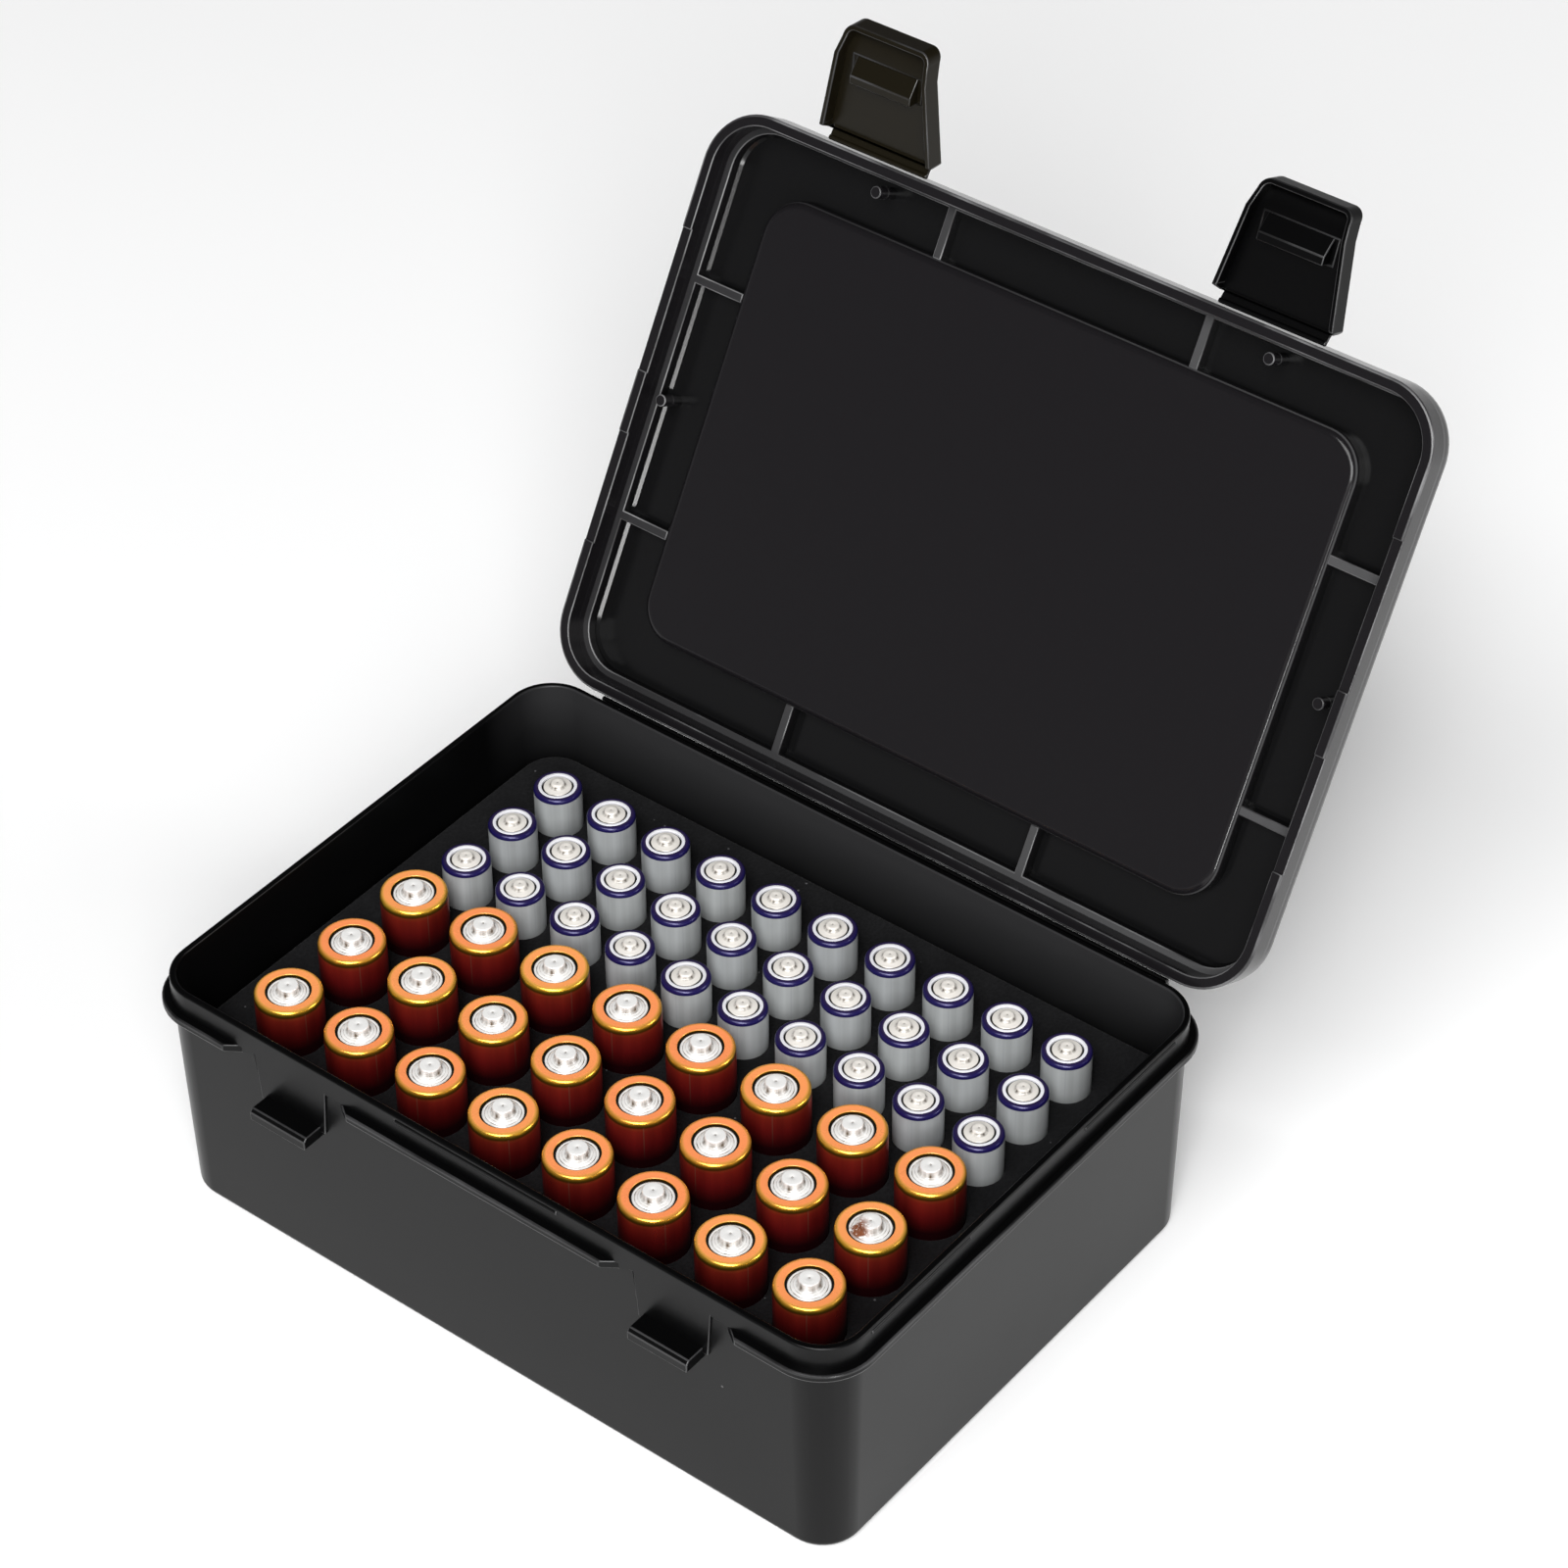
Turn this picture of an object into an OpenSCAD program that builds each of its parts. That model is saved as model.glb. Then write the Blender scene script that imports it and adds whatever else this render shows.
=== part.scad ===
/* [Case base] */
// Inner length of the case at its rim
cavity_l = 171; // [150:0.5:200]
// Inner width of the case at its rim
cavity_w = 120.2; // [105:0.1:140]
// Inner corner radius at the rim
rim_corner_r = 8.8; // [6:0.1:14]
// Height of the case from the table to the top of the rim
case_h = 57.4; // [50:0.1:70]
// Thickness of the rim wall above the ledge
rim_t = 1.5; // [1.2:0.1:2.5]
// Thickness of the side wall at the floor
wall_t = 1.6; // [1.2:0.1:2.5]
// Thickness of the floor
floor_t = 1.8; // [1.2:0.1:3]
// How far the inside of the wall leans in from rim to floor
draft_in = 1.7; // [0.5:0.1:3]
// Height of the rim above the ledge that the lid rests over
rim_h = 5.4; // [4.6:0.1:8]
// Thickness of the ledge
ledge_t = 1.8; // [1:0.1:3]
// How far the ledge stands out past the rim
ledge_out = 1.9; // [1:0.1:4]
// Rounding between the floor and the outside of the wall
foot_round = 1.6; // [0.5:0.1:3]
// Length of the snap bead on the front of the rim
front_bead_l = 41.4; // [10:0.2:60]
// Length of each snap bead on the short sides
side_bead_l = 30.8; // [10:0.2:35]
// Middle of each side bead, measured from the middle of the side
side_bead_y = 34; // [22:0.1:36]
// How far a bead stands out from the rim
bead_out = 0.3; // [0.2:0.05:0.4]

/* [Lid] */
// Height of the closed lid from its rim edge to its top
lid_h = 10.8; // [9:0.1:16]
// Thickness of the top plate of the lid
lid_top_t = 1.8; // [1.2:0.1:2.5]
// Thickness of the lid skirt at its rim edge
skirt_t = 2.5; // [1.8:0.1:4]
// Depth of the wide mouth of the skirt that passes over the case rim
mouth_d = 5.7; // [4:0.1:7]
// Wall of the skirt above the wide mouth, added on the inside
skirt_step = 1.4; // [0.8:0.1:2]
// Rounding of the outer top edge of the lid
lid_round = 3.6; // [1:0.1:5]
// Length of the sunk panel in the top of the lid
panel_l = 148.4; // [100:0.2:152]
// Width of the sunk panel in the top of the lid
panel_w = 100.4; // [70:0.2:104]
// Corner radius of the sunk panel
panel_r = 9; // [6:0.5:20]
// Depth of the sunk panel
panel_d = 4.2; // [3:0.1:6]
// Rounding of the raised inside edge of the panel
panel_round = 1.8; // [0.5:0.1:2]
// Width of each stiffening rib inside the lid
rib_w = 2; // [1:0.1:4]
// Distance of the front and back ribs from the middle
rib_x = 32; // [20:1:45]
// Distance of the side ribs from the middle
rib_y = 27; // [15:1:33]
// How far the pair of side ribs lies behind the middle
rib_shift = 1.2; // [0:0.1:3]
// Depth of the shallow reliefs in the rim edge of the lid
relief_d = 0.45; // [0.2:0.05:1]
// Diameter of the pins in the lid that stand just inside the case rim
pin_d = 2.6; // [1.5:0.1:3]
// How far the pins reach below the top of the case rim
pin_reach = 2.6; // [1:0.1:4]

/* [Hinge] */
// How far the hinge line lies behind the lid skirt
hinge_out = 0.85; // [0.8:0.05:1.4]
// Height of the hinge line above the lid rim edge
hinge_up = 1.1; // [0.6:0.05:1.6]
// Radius of the flexible hinge rod
hinge_rod_r = 0.55; // [0.4:0.05:0.6]
// Length of the lid hinge
hinge_l = 148; // [100:1:150]
// Thickness of the flexible strip that carries the hinge
web_t = 0.7; // [0.4:0.05:1]
// How far the lid stands open
lid_open = 120; // [95:1:125]

/* [Latches] */
// Distance of each latch from the middle of the front
latch_x = 48.8; // [40:0.1:52]
// Shift of both latches along the front from the middle of their catches
latch_shift = -1.2; // [-1.2:0.1:1.2]
// Width of the flexible flap that carries a latch
flap_w = 25.3; // [18:0.1:27]
// Width of a latch at its hinge end
latch_w = 28.6; // [24:0.1:31]
// Width of a latch at its bend
bend_w = 23.4; // [18:0.1:27]
// Width of a latch at its tip
tip_w = 21.8; // [16:0.1:25]
// Distance from the latch hinge to the bend
bend_u = 20.6; // [20.5:0.1:22]
// Distance from the latch hinge to the tip
tip_u = 26.8; // [26:0.1:30]
// Angle of the finger tab past the bend
tab_angle = 22; // [5:1:25]
// Thickness of the latch plate
latch_t = 1.2; // [1:0.1:2]
// Height of the walls around the latch
latch_wall_h = 3.2; // [2:0.1:3.6]
// Thickness of the walls around the latch
latch_wall_t = 1.1; // [0.8:0.1:1.6]
// Height of the hook ridge inside the latch
ridge_h = 2.6; // [2:0.1:3]
// Length of the hook ridge along the case
ridge_l = 15.5; // [10:0.1:17]
// How far the left latch is swung up from closed
left_open = 66; // [0:0.5:115]
// How far the right latch is swung up from closed
right_open = 82; // [0:0.5:115]

/* [Catches] */
// Width of the catch shelf
catch_w = 14.6; // [8:0.1:17]
// Drop from the top of the ledge to the top of the catch shelf
catch_drop = 10; // [8:0.1:12]
// Thickness of the catch shelf
catch_t = 2.8; // [1.5:0.1:4]
// How far the catch shelf stands out from the wall
catch_out = 5.5; // [4:0.1:6]
// Width of the raised panel above the catch, at the ledge
pad_top_w = 19; // [12:0.1:22]
// Width of the raised panel above the catch, at the shelf
pad_low_w = 17; // [12:0.1:22]
// Width of the gap in the ledge at its root
gap_w = 26.6; // [20:0.1:30]
// Slope of the ledge ends beside the gap, along the case
gap_flare = 3.3; // [1:0.1:5]

/* [Foam insert] */
// Height of the foam block
foam_h = 37; // [25:0.5:42]
// Rounding of the top edge of the foam
foam_round = 1; // [0.5:0.1:2]
// Foam left under the small cells
foam_web = 3.4; // [1:0.1:8]

/* [Cells] */
// Number of cells in a row of large cells
aa_columns = 8; // [2:1:8]
// Number of rows of large cells
aa_rows = 3; // [1:1:3]
// Diameter of a large cell
aa_d = 14.2; // [13.5:0.1:14.5]
// Height of a large cell without its button
aa_h = 49; // [45:0.1:49.5]
// Diameter of the cap of a large cell
aa_cap_d = 8.8; // [7:0.1:10]
// Diameter of the button of a large cell
aa_button_d = 4.8; // [3:0.1:5.5]
// Height of the button of a large cell
aa_button_h = 1.5; // [1:0.1:2]
// Distance between large cells
aa_pitch = 19.1; // [17:0.1:19.4]
// Number of cells in a row of small cells
aaa_columns = 10; // [2:1:10]
// Number of rows of small cells
aaa_rows = 3; // [1:1:3]
// Diameter of a small cell
aaa_d = 10.4; // [9.5:0.1:10.5]
// Height of a small cell without its button
aaa_h = 43.5; // [40:0.1:43.7]
// Diameter of the cap of a small cell
aaa_cap_d = 6.6; // [5:0.1:7]
// Diameter of the button of a small cell
aaa_button_d = 2.8; // [2:0.1:3.8]
// Height of the button of a small cell
aaa_button_h = 1; // [0.8:0.1:1.2]
// Distance between small cells
aaa_pitch = 14.8; // [13:0.1:15.2]
// Distance from the last row of large cells to the first row of small cells
block_pitch = 16.1; // [13:0.1:17]
// Middle of all the rows, measured from the middle of the case
rows_y = -0.55; // [-2:0.05:2]

/* [Clearances] */
// Gap between the closed lid and the ledge, and under the catch
seat_gap = 0.3; // [0.2:0.05:0.6]
// Gap between the rim and the mouth of the lid
skirt_gap = 0.7; // [0.6:0.05:1]
// Gap between the case rim top and the step in the closed lid
step_gap = 0.6; // [0.3:0.05:1.5]
// Gap between the foam and the wall of the case
foam_gap = 0.3; // [0:0.05:1]
// Gap between the pins in the lid and the inside of the rim
pin_gap = 0.35; // [0.3:0.05:0.6]
// Gap around a cell in its well
well_gap = 0.15; // [0:0.05:0.4]
// Gap between a catch shelf and the latch plate
catch_gap = 0.4; // [0.3:0.05:0.8]
// Gap between the underside of a catch shelf and the hook ridge
hook_gap = 0.4; // [0.35:0.05:0.8]

/* [Hidden] */
CASE_COLOR = [0.13, 0.13, 0.135];
FOAM_COLOR = [0.09, 0.09, 0.1];
COPPER_COLOR = [0.9, 0.5, 0.25];
AAA_COLOR = [0.5, 0.52, 0.52];
$fn = 48;
eps = 0.01;
arc_steps = 5;

// Levels of the case
ledge_z = case_h - rim_h;
catch_z = ledge_z - catch_drop;

// Small roundings and chamfers
rim_out_round = 0.5;
rim_in_round = 0.4;
edge_chamfer = 0.3;
floor_fillet = 0.8;
lid_fillet = 0.6;
latch_corner = 0.8;
tip_corner_r = 2.6;

// How far pieces that are moulded together reach into each other
sink = 0.5;
lap = 0.2;

// Corner arcs of the case, ledge, rim, lid and foam all share these middles
corner_x = cavity_l / 2 - rim_corner_r;
corner_y = cavity_w / 2 - rim_corner_r;

// Distances outward from the corner middles
rim_setback = 0.4;
rim_in_r = rim_corner_r;
rim_out_r = rim_in_r + rim_t;
ledge_r = rim_out_r + ledge_out;
floor_in_r = rim_in_r - draft_in;
foot_r = floor_in_r + wall_t;
wall_top_r = rim_out_r - rim_setback;
mouth_r = rim_out_r + skirt_gap;
skirt_r = mouth_r + skirt_t;
throat_r = mouth_r - skirt_step;
plate_r = throat_r - 1;
skirt_top_r = skirt_r - 0.4;

// Lid levels, with the lid closed
lid_z = ledge_z + seat_gap;
lid_top_z = lid_z + lid_h;
lid_floor_z = lid_top_z - lid_top_t;
step_z = lid_z + max(mouth_d, case_h + step_gap - lid_z);
panel_top_z = lid_top_z - panel_d;
panel_in_z = panel_top_z - lid_top_t;
rib_z = max(panel_in_z, step_z);

// Hinge lines, with the lid closed
hinge_y = corner_y + skirt_r + hinge_out;
hinge_z = lid_z + hinge_up;
latch_y = -hinge_y;
latch_z = hinge_z;

// Latch sections are drawn as distance from the hinge and height toward the case
catch_tip_r = wall_r(catch_z) + catch_out;
plate_in = hinge_y - corner_y - catch_tip_r - catch_gap;
plate_out = plate_in - latch_t;
plate_u = 2;
wall_in = plate_in + latch_wall_h;
tab_drop = (tip_u - bend_u) * tan(tab_angle);
hook_u = latch_z - (catch_z - catch_t) + hook_gap;
ridge_foot_u = hook_u + 5.8;
ridge_nose_u = hook_u + 1.8;
frame_l = ridge_l + 2.5;
frame_line = 0.4;
frame_rise = 0.3;
frame_from_u = hook_u - frame_line / 2;
frame_to_u = bend_u - 0.2;
latch_lip = 1;

// Middles of the front rows
rows_w = (aa_rows - 1) * aa_pitch + block_pitch + (aaa_rows - 1) * aaa_pitch;
aa_front_y = rows_y - rows_w / 2;
aaa_front_y = aa_front_y + (aa_rows - 1) * aa_pitch + block_pitch;

foam_z = floor_t;
foam_top_z = foam_z + foam_h;
aaa_z = foam_z + foam_web;
bead_r = 0.6;
bead_z = case_h - 1.3;
catch_chamfer = 0.8;
relief_spans = [[-36, -4], [10, 35]];
pin_r = cavity_r(case_h - pin_reach) - pin_gap - pin_d / 2;
pin_y = 0.9;

function aa_name(row, column) = str("aa_cell_r", row, "_c", column);
function aaa_name(row, column) = str("aaa_cell_r", row, "_c", column);

// Middle of a row or column in an even grid about the middle of the case
function column_x(column, columns, pitch) = (column - (columns + 1) / 2) * pitch;
function row_y(row, front_y, pitch) = front_y + (row - 1) * pitch;

// Outside of the base wall at a height, as a distance from the corner middles
function wall_r(z) = foot_r + (wall_top_r - foot_r) * z / (ledge_z - ledge_t);

// Inside of the base wall at a height
function cavity_r(z) = floor_in_r + (rim_in_r - floor_in_r) * (z - floor_t) / (case_h - floor_t);

// Points of a quarter arc about a middle, from one angle to another
function arc(middle, r, from, to) = [
    for (i = [0:arc_steps])
        let (a = from + (to - from) * i / arc_steps)
        [middle[0] + r * cos(a), middle[1] + r * sin(a)]
];

// Sweeps a section around a rounded rectangle with the given corner middles
module around(x, y) {
    for (sx = [0, 1])
        for (sy = [0, 1])
            mirror([sx, 0, 0])
                mirror([0, sy, 0])
                    translate([x, y, 0])
                        rotate_extrude(angle = 90)
                            children();
    for (sx = [0, 1])
        mirror([sx, 0, 0])
            translate([x, y, 0])
                rotate([90, 0, 0])
                    linear_extrude(2 * y)
                        children();
    for (sy = [0, 1])
        mirror([0, sy, 0])
            translate([-x, y, 0])
                rotate([90, 0, 90])
                    linear_extrude(2 * x)
                        children();
}

module rounded_rect(length, width, r) {
    square([length - 2 * r, width], center = true);
    square([length, width - 2 * r], center = true);
    for (sx = [-1, 1])
        for (sy = [-1, 1])
            translate([sx * (length / 2 - r), sy * (width / 2 - r)])
                circle(r);
}

// Block that fills the outline between the corner middles
module middle_block(z, h) {
    translate([-corner_x, -corner_y, z])
        cube([2 * corner_x, 2 * corner_y, h]);
}

module base_section() {
    polygon(concat(
        [[0, 0]],
        arc([foot_r - foot_round, foot_round], foot_round, -90, 0),
        [
            [wall_top_r, ledge_z - ledge_t],
            [ledge_r - edge_chamfer, ledge_z - ledge_t],
            [ledge_r, ledge_z - ledge_t + edge_chamfer],
            [ledge_r, ledge_z - edge_chamfer],
            [ledge_r - edge_chamfer, ledge_z],
            [rim_out_r, ledge_z],
        ],
        arc([rim_out_r - rim_out_round, case_h - rim_out_round], rim_out_round, 0, 90),
        arc([rim_in_r + rim_in_round, case_h - rim_in_round], rim_in_round, 90, 180),
        arc([floor_in_r - floor_fillet, floor_t + floor_fillet], floor_fillet, 0, -90),
        [[0, floor_t]]
    ));
}

// Half-round snap bead of a given length along X on the outside of the rim
module rim_bead(length) {
    translate([-length / 2, 0, 0])
        rotate([0, 90, 0])
            cylinder(h = length, r = bead_r);
}

module rim_beads() {
    inset = rim_out_r + bead_out - bead_r;
    translate([0, -corner_y - inset, bead_z])
        rim_bead(front_bead_l);
    for (sx = [-1, 1])
        for (sy = [-1, 1])
            translate([sx * (corner_x + inset), sy * side_bead_y, bead_z])
                rotate([0, 0, 90])
                    rim_bead(side_bead_l);
}

// Gap cut through the ledge where a latch hangs
module ledge_gap() {
    root_y = corner_y + wall_top_r;
    tip_y = corner_y + ledge_r + eps;
    translate([0, 0, ledge_z - ledge_t - eps])
        linear_extrude(ledge_t + eps)
            polygon([
                [-gap_w / 2, -root_y],
                [gap_w / 2, -root_y],
                [gap_w / 2 + gap_flare, -tip_y],
                [-gap_w / 2 - gap_flare, -tip_y],
            ]);
}

// Raised panel, flush with the rim, that leads down to the catch shelf
module catch_pad() {
    root_y = corner_y + wall_r(catch_z) - sink;
    face_y = corner_y + rim_out_r;
    translate([0, -root_y, 0])
        rotate([90, 0, 0])
            linear_extrude(face_y - root_y)
                polygon([
                    [-pad_low_w / 2, catch_z - catch_t / 2],
                    [pad_low_w / 2, catch_z - catch_t / 2],
                    [pad_top_w / 2, ledge_z + sink],
                    [-pad_top_w / 2, ledge_z + sink],
                ]);
}

module catch_shelf() {
    root_y = corner_y + wall_r(catch_z) - sink;
    tip_y = corner_y + catch_tip_r;
    translate([-catch_w / 2, 0, 0])
        rotate([90, 0, 90])
            linear_extrude(catch_w)
                polygon([
                    [-root_y, catch_z - catch_t],
                    [-root_y, catch_z],
                    [catch_chamfer - tip_y, catch_z],
                    [-tip_y, catch_z - catch_chamfer],
                    [-tip_y, catch_z - catch_t],
                ]);
}

// Strip of flexible plastic from the back of the ledge up to the hinge line
module hinge_web() {
    root_y = corner_y + ledge_r - sink;
    low_z = ledge_z - ledge_t / 2 - web_t / 2;
    translate([-hinge_l / 2, 0, 0])
        rotate([90, 0, 90])
            linear_extrude(hinge_l) {
                polygon([
                    [root_y, low_z],
                    [hinge_y + web_t / 2, low_z],
                    [hinge_y + hinge_rod_r, low_z + web_t],
                    [hinge_y + hinge_rod_r, hinge_z],
                    [hinge_y + hinge_rod_r - web_t, hinge_z],
                    [hinge_y + hinge_rod_r - web_t, low_z + web_t],
                    [root_y, low_z + web_t],
                ]);
                translate([hinge_y, hinge_z])
                    circle(hinge_rod_r);
            }
}

module case_base() {
    color(CASE_COLOR) {
        difference() {
            union() {
                around(corner_x, corner_y) base_section();
                middle_block(0, floor_t);
            }
            for (sx = [-1, 1])
                translate([sx * latch_x, 0, 0])
                    ledge_gap();
        }
        rim_beads();
        for (sx = [-1, 1])
            translate([sx * latch_x, 0, 0]) {
                catch_pad();
                catch_shelf();
            }
        hinge_web();
    }
}

module skirt_section() {
    polygon(concat(
        [
            [mouth_r, lid_z],
            [mouth_r, step_z],
            [throat_r, step_z],
            [throat_r, lid_floor_z - lid_fillet],
            [throat_r - lid_fillet, lid_floor_z],
            [plate_r, lid_floor_z],
            [plate_r, lid_top_z],
        ],
        arc([skirt_top_r - lid_round, lid_top_z - lid_round], lid_round, 90, 0),
        [[skirt_r, lid_z + edge_chamfer]],
        [[skirt_r - edge_chamfer, lid_z]]
    ));
}

// Wall of the sunk panel, from the top plate down to the panel
module panel_section() {
    fold = 1.2;
    out_r = panel_r - lid_top_t + lap;
    in_r = panel_r - max(panel_round, lid_top_t + fold);
    polygon(concat(
        [[in_r, panel_in_z]],
        arc([panel_r - panel_round, panel_in_z + panel_round], panel_round, -90, 0),
        [
            [panel_r, lid_floor_z],
            [panel_r + fold, lid_floor_z],
            [panel_r + fold, lid_top_z],
            [out_r + edge_chamfer, lid_top_z],
            [out_r, lid_top_z - edge_chamfer],
            [out_r, panel_top_z + lid_fillet],
            [out_r - lid_fillet, panel_top_z],
            [in_r, panel_top_z],
        ]
    ));
}

// Top plate with the sunk panel formed in it
module lid_plate() {
    around(panel_l / 2 - panel_r, panel_w / 2 - panel_r) panel_section();
    translate([0, 0, panel_in_z])
        linear_extrude(panel_top_z - panel_in_z)
            rounded_rect(panel_l - 2 * lid_top_t, panel_w - 2 * lid_top_t, panel_r - lid_top_t);
    translate([0, 0, lid_floor_z])
        linear_extrude(lid_top_t)
            difference() {
                rounded_rect(2 * (corner_x + plate_r), 2 * (corner_y + plate_r), plate_r);
                rounded_rect(panel_l, panel_w, panel_r);
            }
}

// Stiffening ribs between the sunk panel and the skirt
module lid_ribs() {
    rib_h = lid_floor_z - rib_z + lap;
    front_l = corner_y + throat_r - panel_w / 2 + 2 * lap;
    side_l = corner_x + throat_r - panel_l / 2 + 2 * lap;
    for (sx = [-1, 1])
        for (sy = [0, 1])
            mirror([0, sy, 0])
                translate([sx * rib_x - rib_w / 2, panel_w / 2 - lap, rib_z])
                    cube([rib_w, front_l, rib_h]);
    for (sy = [-1, 1])
        for (sx = [0, 1])
            mirror([sx, 0, 0])
                translate([panel_l / 2 - lap, sy * rib_y + rib_shift - rib_w / 2, rib_z])
                    cube([side_l, rib_w, rib_h]);
}

// Shallow steps in the rim edge along the short sides of the lid
module rim_reliefs() {
    for (sx = [-1, 1])
        for (span = relief_spans)
            translate([sx * (corner_x + mouth_r + skirt_t / 2) - skirt_t, span[0], lid_z - eps])
                cube([2 * skirt_t, span[1] - span[0], relief_d + eps]);
}

// Pins that centre the closed lid on the inside of the case rim
module lid_pins() {
    front_y = -corner_y - pin_r;
    side_x = corner_x + pin_r;
    low_z = case_h - pin_reach;
    for (place = [[-latch_x, front_y], [latch_x, front_y], [-side_x, pin_y], [side_x, pin_y]])
        translate([place[0], place[1], low_z])
            cylinder(h = lid_floor_z + lap - low_z, d = pin_d);
}

module lid_closed() {
    difference() {
        union() {
            around(corner_x, corner_y) skirt_section();
            lid_plate();
            lid_ribs();
        }
        rim_reliefs();
    }
    lid_pins();
}

// Turns what is drawn closed to the open place of the lid
module opened() {
    translate([0, hinge_y, hinge_z])
        rotate([-lid_open, 0, 0])
            translate([0, -hinge_y, -hinge_z])
                children();
}

module lid() {
    color(CASE_COLOR)
        opened()
            lid_closed();
}

// Outline of a latch seen from the front, inset by a wall
module latch_outline(inset) {
    tip_r = tip_corner_r - inset;
    tip_half = tip_w / 2 - inset;
    union() {
        polygon([
            [-latch_w / 2 + inset, plate_u + latch_corner],
            [-latch_w / 2 + inset + latch_corner, plate_u],
            [latch_w / 2 - inset - latch_corner, plate_u],
            [latch_w / 2 - inset, plate_u + latch_corner],
            [bend_w / 2 - inset, bend_u],
            [tip_half, tip_u - inset - tip_r],
            [-tip_half, tip_u - inset - tip_r],
            [-bend_w / 2 + inset, bend_u],
        ]);
        translate([-tip_half + tip_r, tip_u - inset - tip_r - eps])
            square([2 * (tip_half - tip_r), tip_r + eps]);
        for (sx = [-1, 1])
            translate([sx * (tip_half - tip_r), tip_u - inset - tip_r])
                circle(tip_r);
    }
}

// Solid cut by a side section from the outline of the latch
module latch_solid(inset) {
    intersection() {
        translate([0, 0, plate_out - tab_drop - 2])
            linear_extrude(wall_in - plate_out + tab_drop + 4)
                latch_outline(inset);
        translate([-latch_w, 0, 0])
            rotate([90, 0, 90])
                linear_extrude(2 * latch_w)
                    children();
    }
}

module latch_shell() {
    past_u = tip_u + 1;
    past_drop = (past_u - bend_u) * tan(tab_angle);
    difference() {
        latch_solid(0)
            polygon([
                [plate_u, plate_out],
                [bend_u, plate_out],
                [past_u, plate_out - past_drop],
                [past_u, wall_in - past_drop],
                [bend_u, wall_in],
                [plate_u + latch_lip, wall_in],
                [plate_u, plate_in + latch_lip],
            ]);
        latch_solid(latch_wall_t)
            polygon([
                [plate_u - 1, plate_in],
                [bend_u, plate_in],
                [past_u, plate_in - past_drop],
                [past_u, wall_in + 1],
                [plate_u - 1, wall_in + 1],
            ]);
        // The tray stays open toward the hinge
        translate([-latch_w / 2 + latch_wall_t, plate_u - 1, plate_in])
            cube([latch_w - 2 * latch_wall_t, latch_wall_t + 1 + lap, latch_wall_h + 1]);
    }
}

// Ramp with a square edge that hooks under the catch shelf
module latch_ridge() {
    translate([-ridge_l / 2, 0, 0])
        rotate([90, 0, 90])
            linear_extrude(ridge_l)
                polygon([
                    [hook_u, plate_in - sink],
                    [ridge_foot_u, plate_in - sink],
                    [ridge_foot_u, plate_in],
                    [ridge_nose_u, plate_in + ridge_h],
                    [hook_u, plate_in + ridge_h],
                ]);
}

// Fine raised outline around the ridge
module latch_frame() {
    frame_w = frame_to_u - frame_from_u;
    translate([0, (frame_from_u + frame_to_u) / 2, plate_in - sink])
        linear_extrude(frame_rise + sink)
            difference() {
                square([frame_l, frame_w], center = true);
                square([frame_l - 2 * frame_line, frame_w - 2 * frame_line], center = true);
            }
}

// Flexible flap between the hinge line and the plate
module latch_flap() {
    end_u = plate_u + sink;
    end_z = plate_in - 0.1;
    translate([-flap_w / 2, 0, 0])
        rotate([90, 0, 90])
            linear_extrude(flap_w) {
                circle(hinge_rod_r);
                polygon([
                    [0, -hinge_rod_r],
                    [end_u, end_z - web_t],
                    [end_u, end_z],
                    [0, web_t - hinge_rod_r],
                ]);
            }
}

// Hangs a latch on the front of the lid, swung up from closed
module hung_latch(x, swing) {
    color(CASE_COLOR)
        opened()
            translate([x, latch_y, latch_z])
                rotate([-swing - 90, 0, 0]) {
                    latch_shell();
                    latch_ridge();
                    latch_frame();
                    latch_flap();
                }
}

module latch_left() {
    hung_latch(latch_shift - latch_x, left_open);
}

module latch_right() {
    hung_latch(latch_shift + latch_x, right_open);
}

module at_aa_cells() {
    for (r = [1:aa_rows])
        for (c = [1:aa_columns])
            translate([column_x(c, aa_columns, aa_pitch), row_y(r, aa_front_y, aa_pitch), 0])
                children();
}

module at_aaa_cells() {
    for (r = [1:aaa_rows])
        for (c = [1:aaa_columns])
            translate([column_x(c, aaa_columns, aaa_pitch), row_y(r, aaa_front_y, aaa_pitch), 0])
                children();
}

module foam_section() {
    low_r = cavity_r(foam_z + floor_fillet) - foam_gap - floor_fillet;
    top_r = cavity_r(foam_top_z) - foam_gap;
    polygon(concat(
        [[0, foam_z]],
        [[low_r, foam_z]],
        [[low_r + floor_fillet, foam_z + floor_fillet]],
        arc([top_r - foam_round, foam_top_z - foam_round], foam_round, 0, 90),
        [[0, foam_top_z]]
    ));
}

module foam_insert() {
    color(FOAM_COLOR)
        difference() {
            union() {
                around(corner_x, corner_y) foam_section();
                middle_block(foam_z, foam_h);
            }
            at_aa_cells()
                translate([0, 0, foam_z - eps])
                    cylinder(h = foam_h + 1, d = aa_d + 2 * well_gap);
            at_aaa_cells()
                translate([0, 0, aaa_z])
                    cylinder(h = foam_h + 1, d = aaa_d + 2 * well_gap);
        }
}

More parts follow.
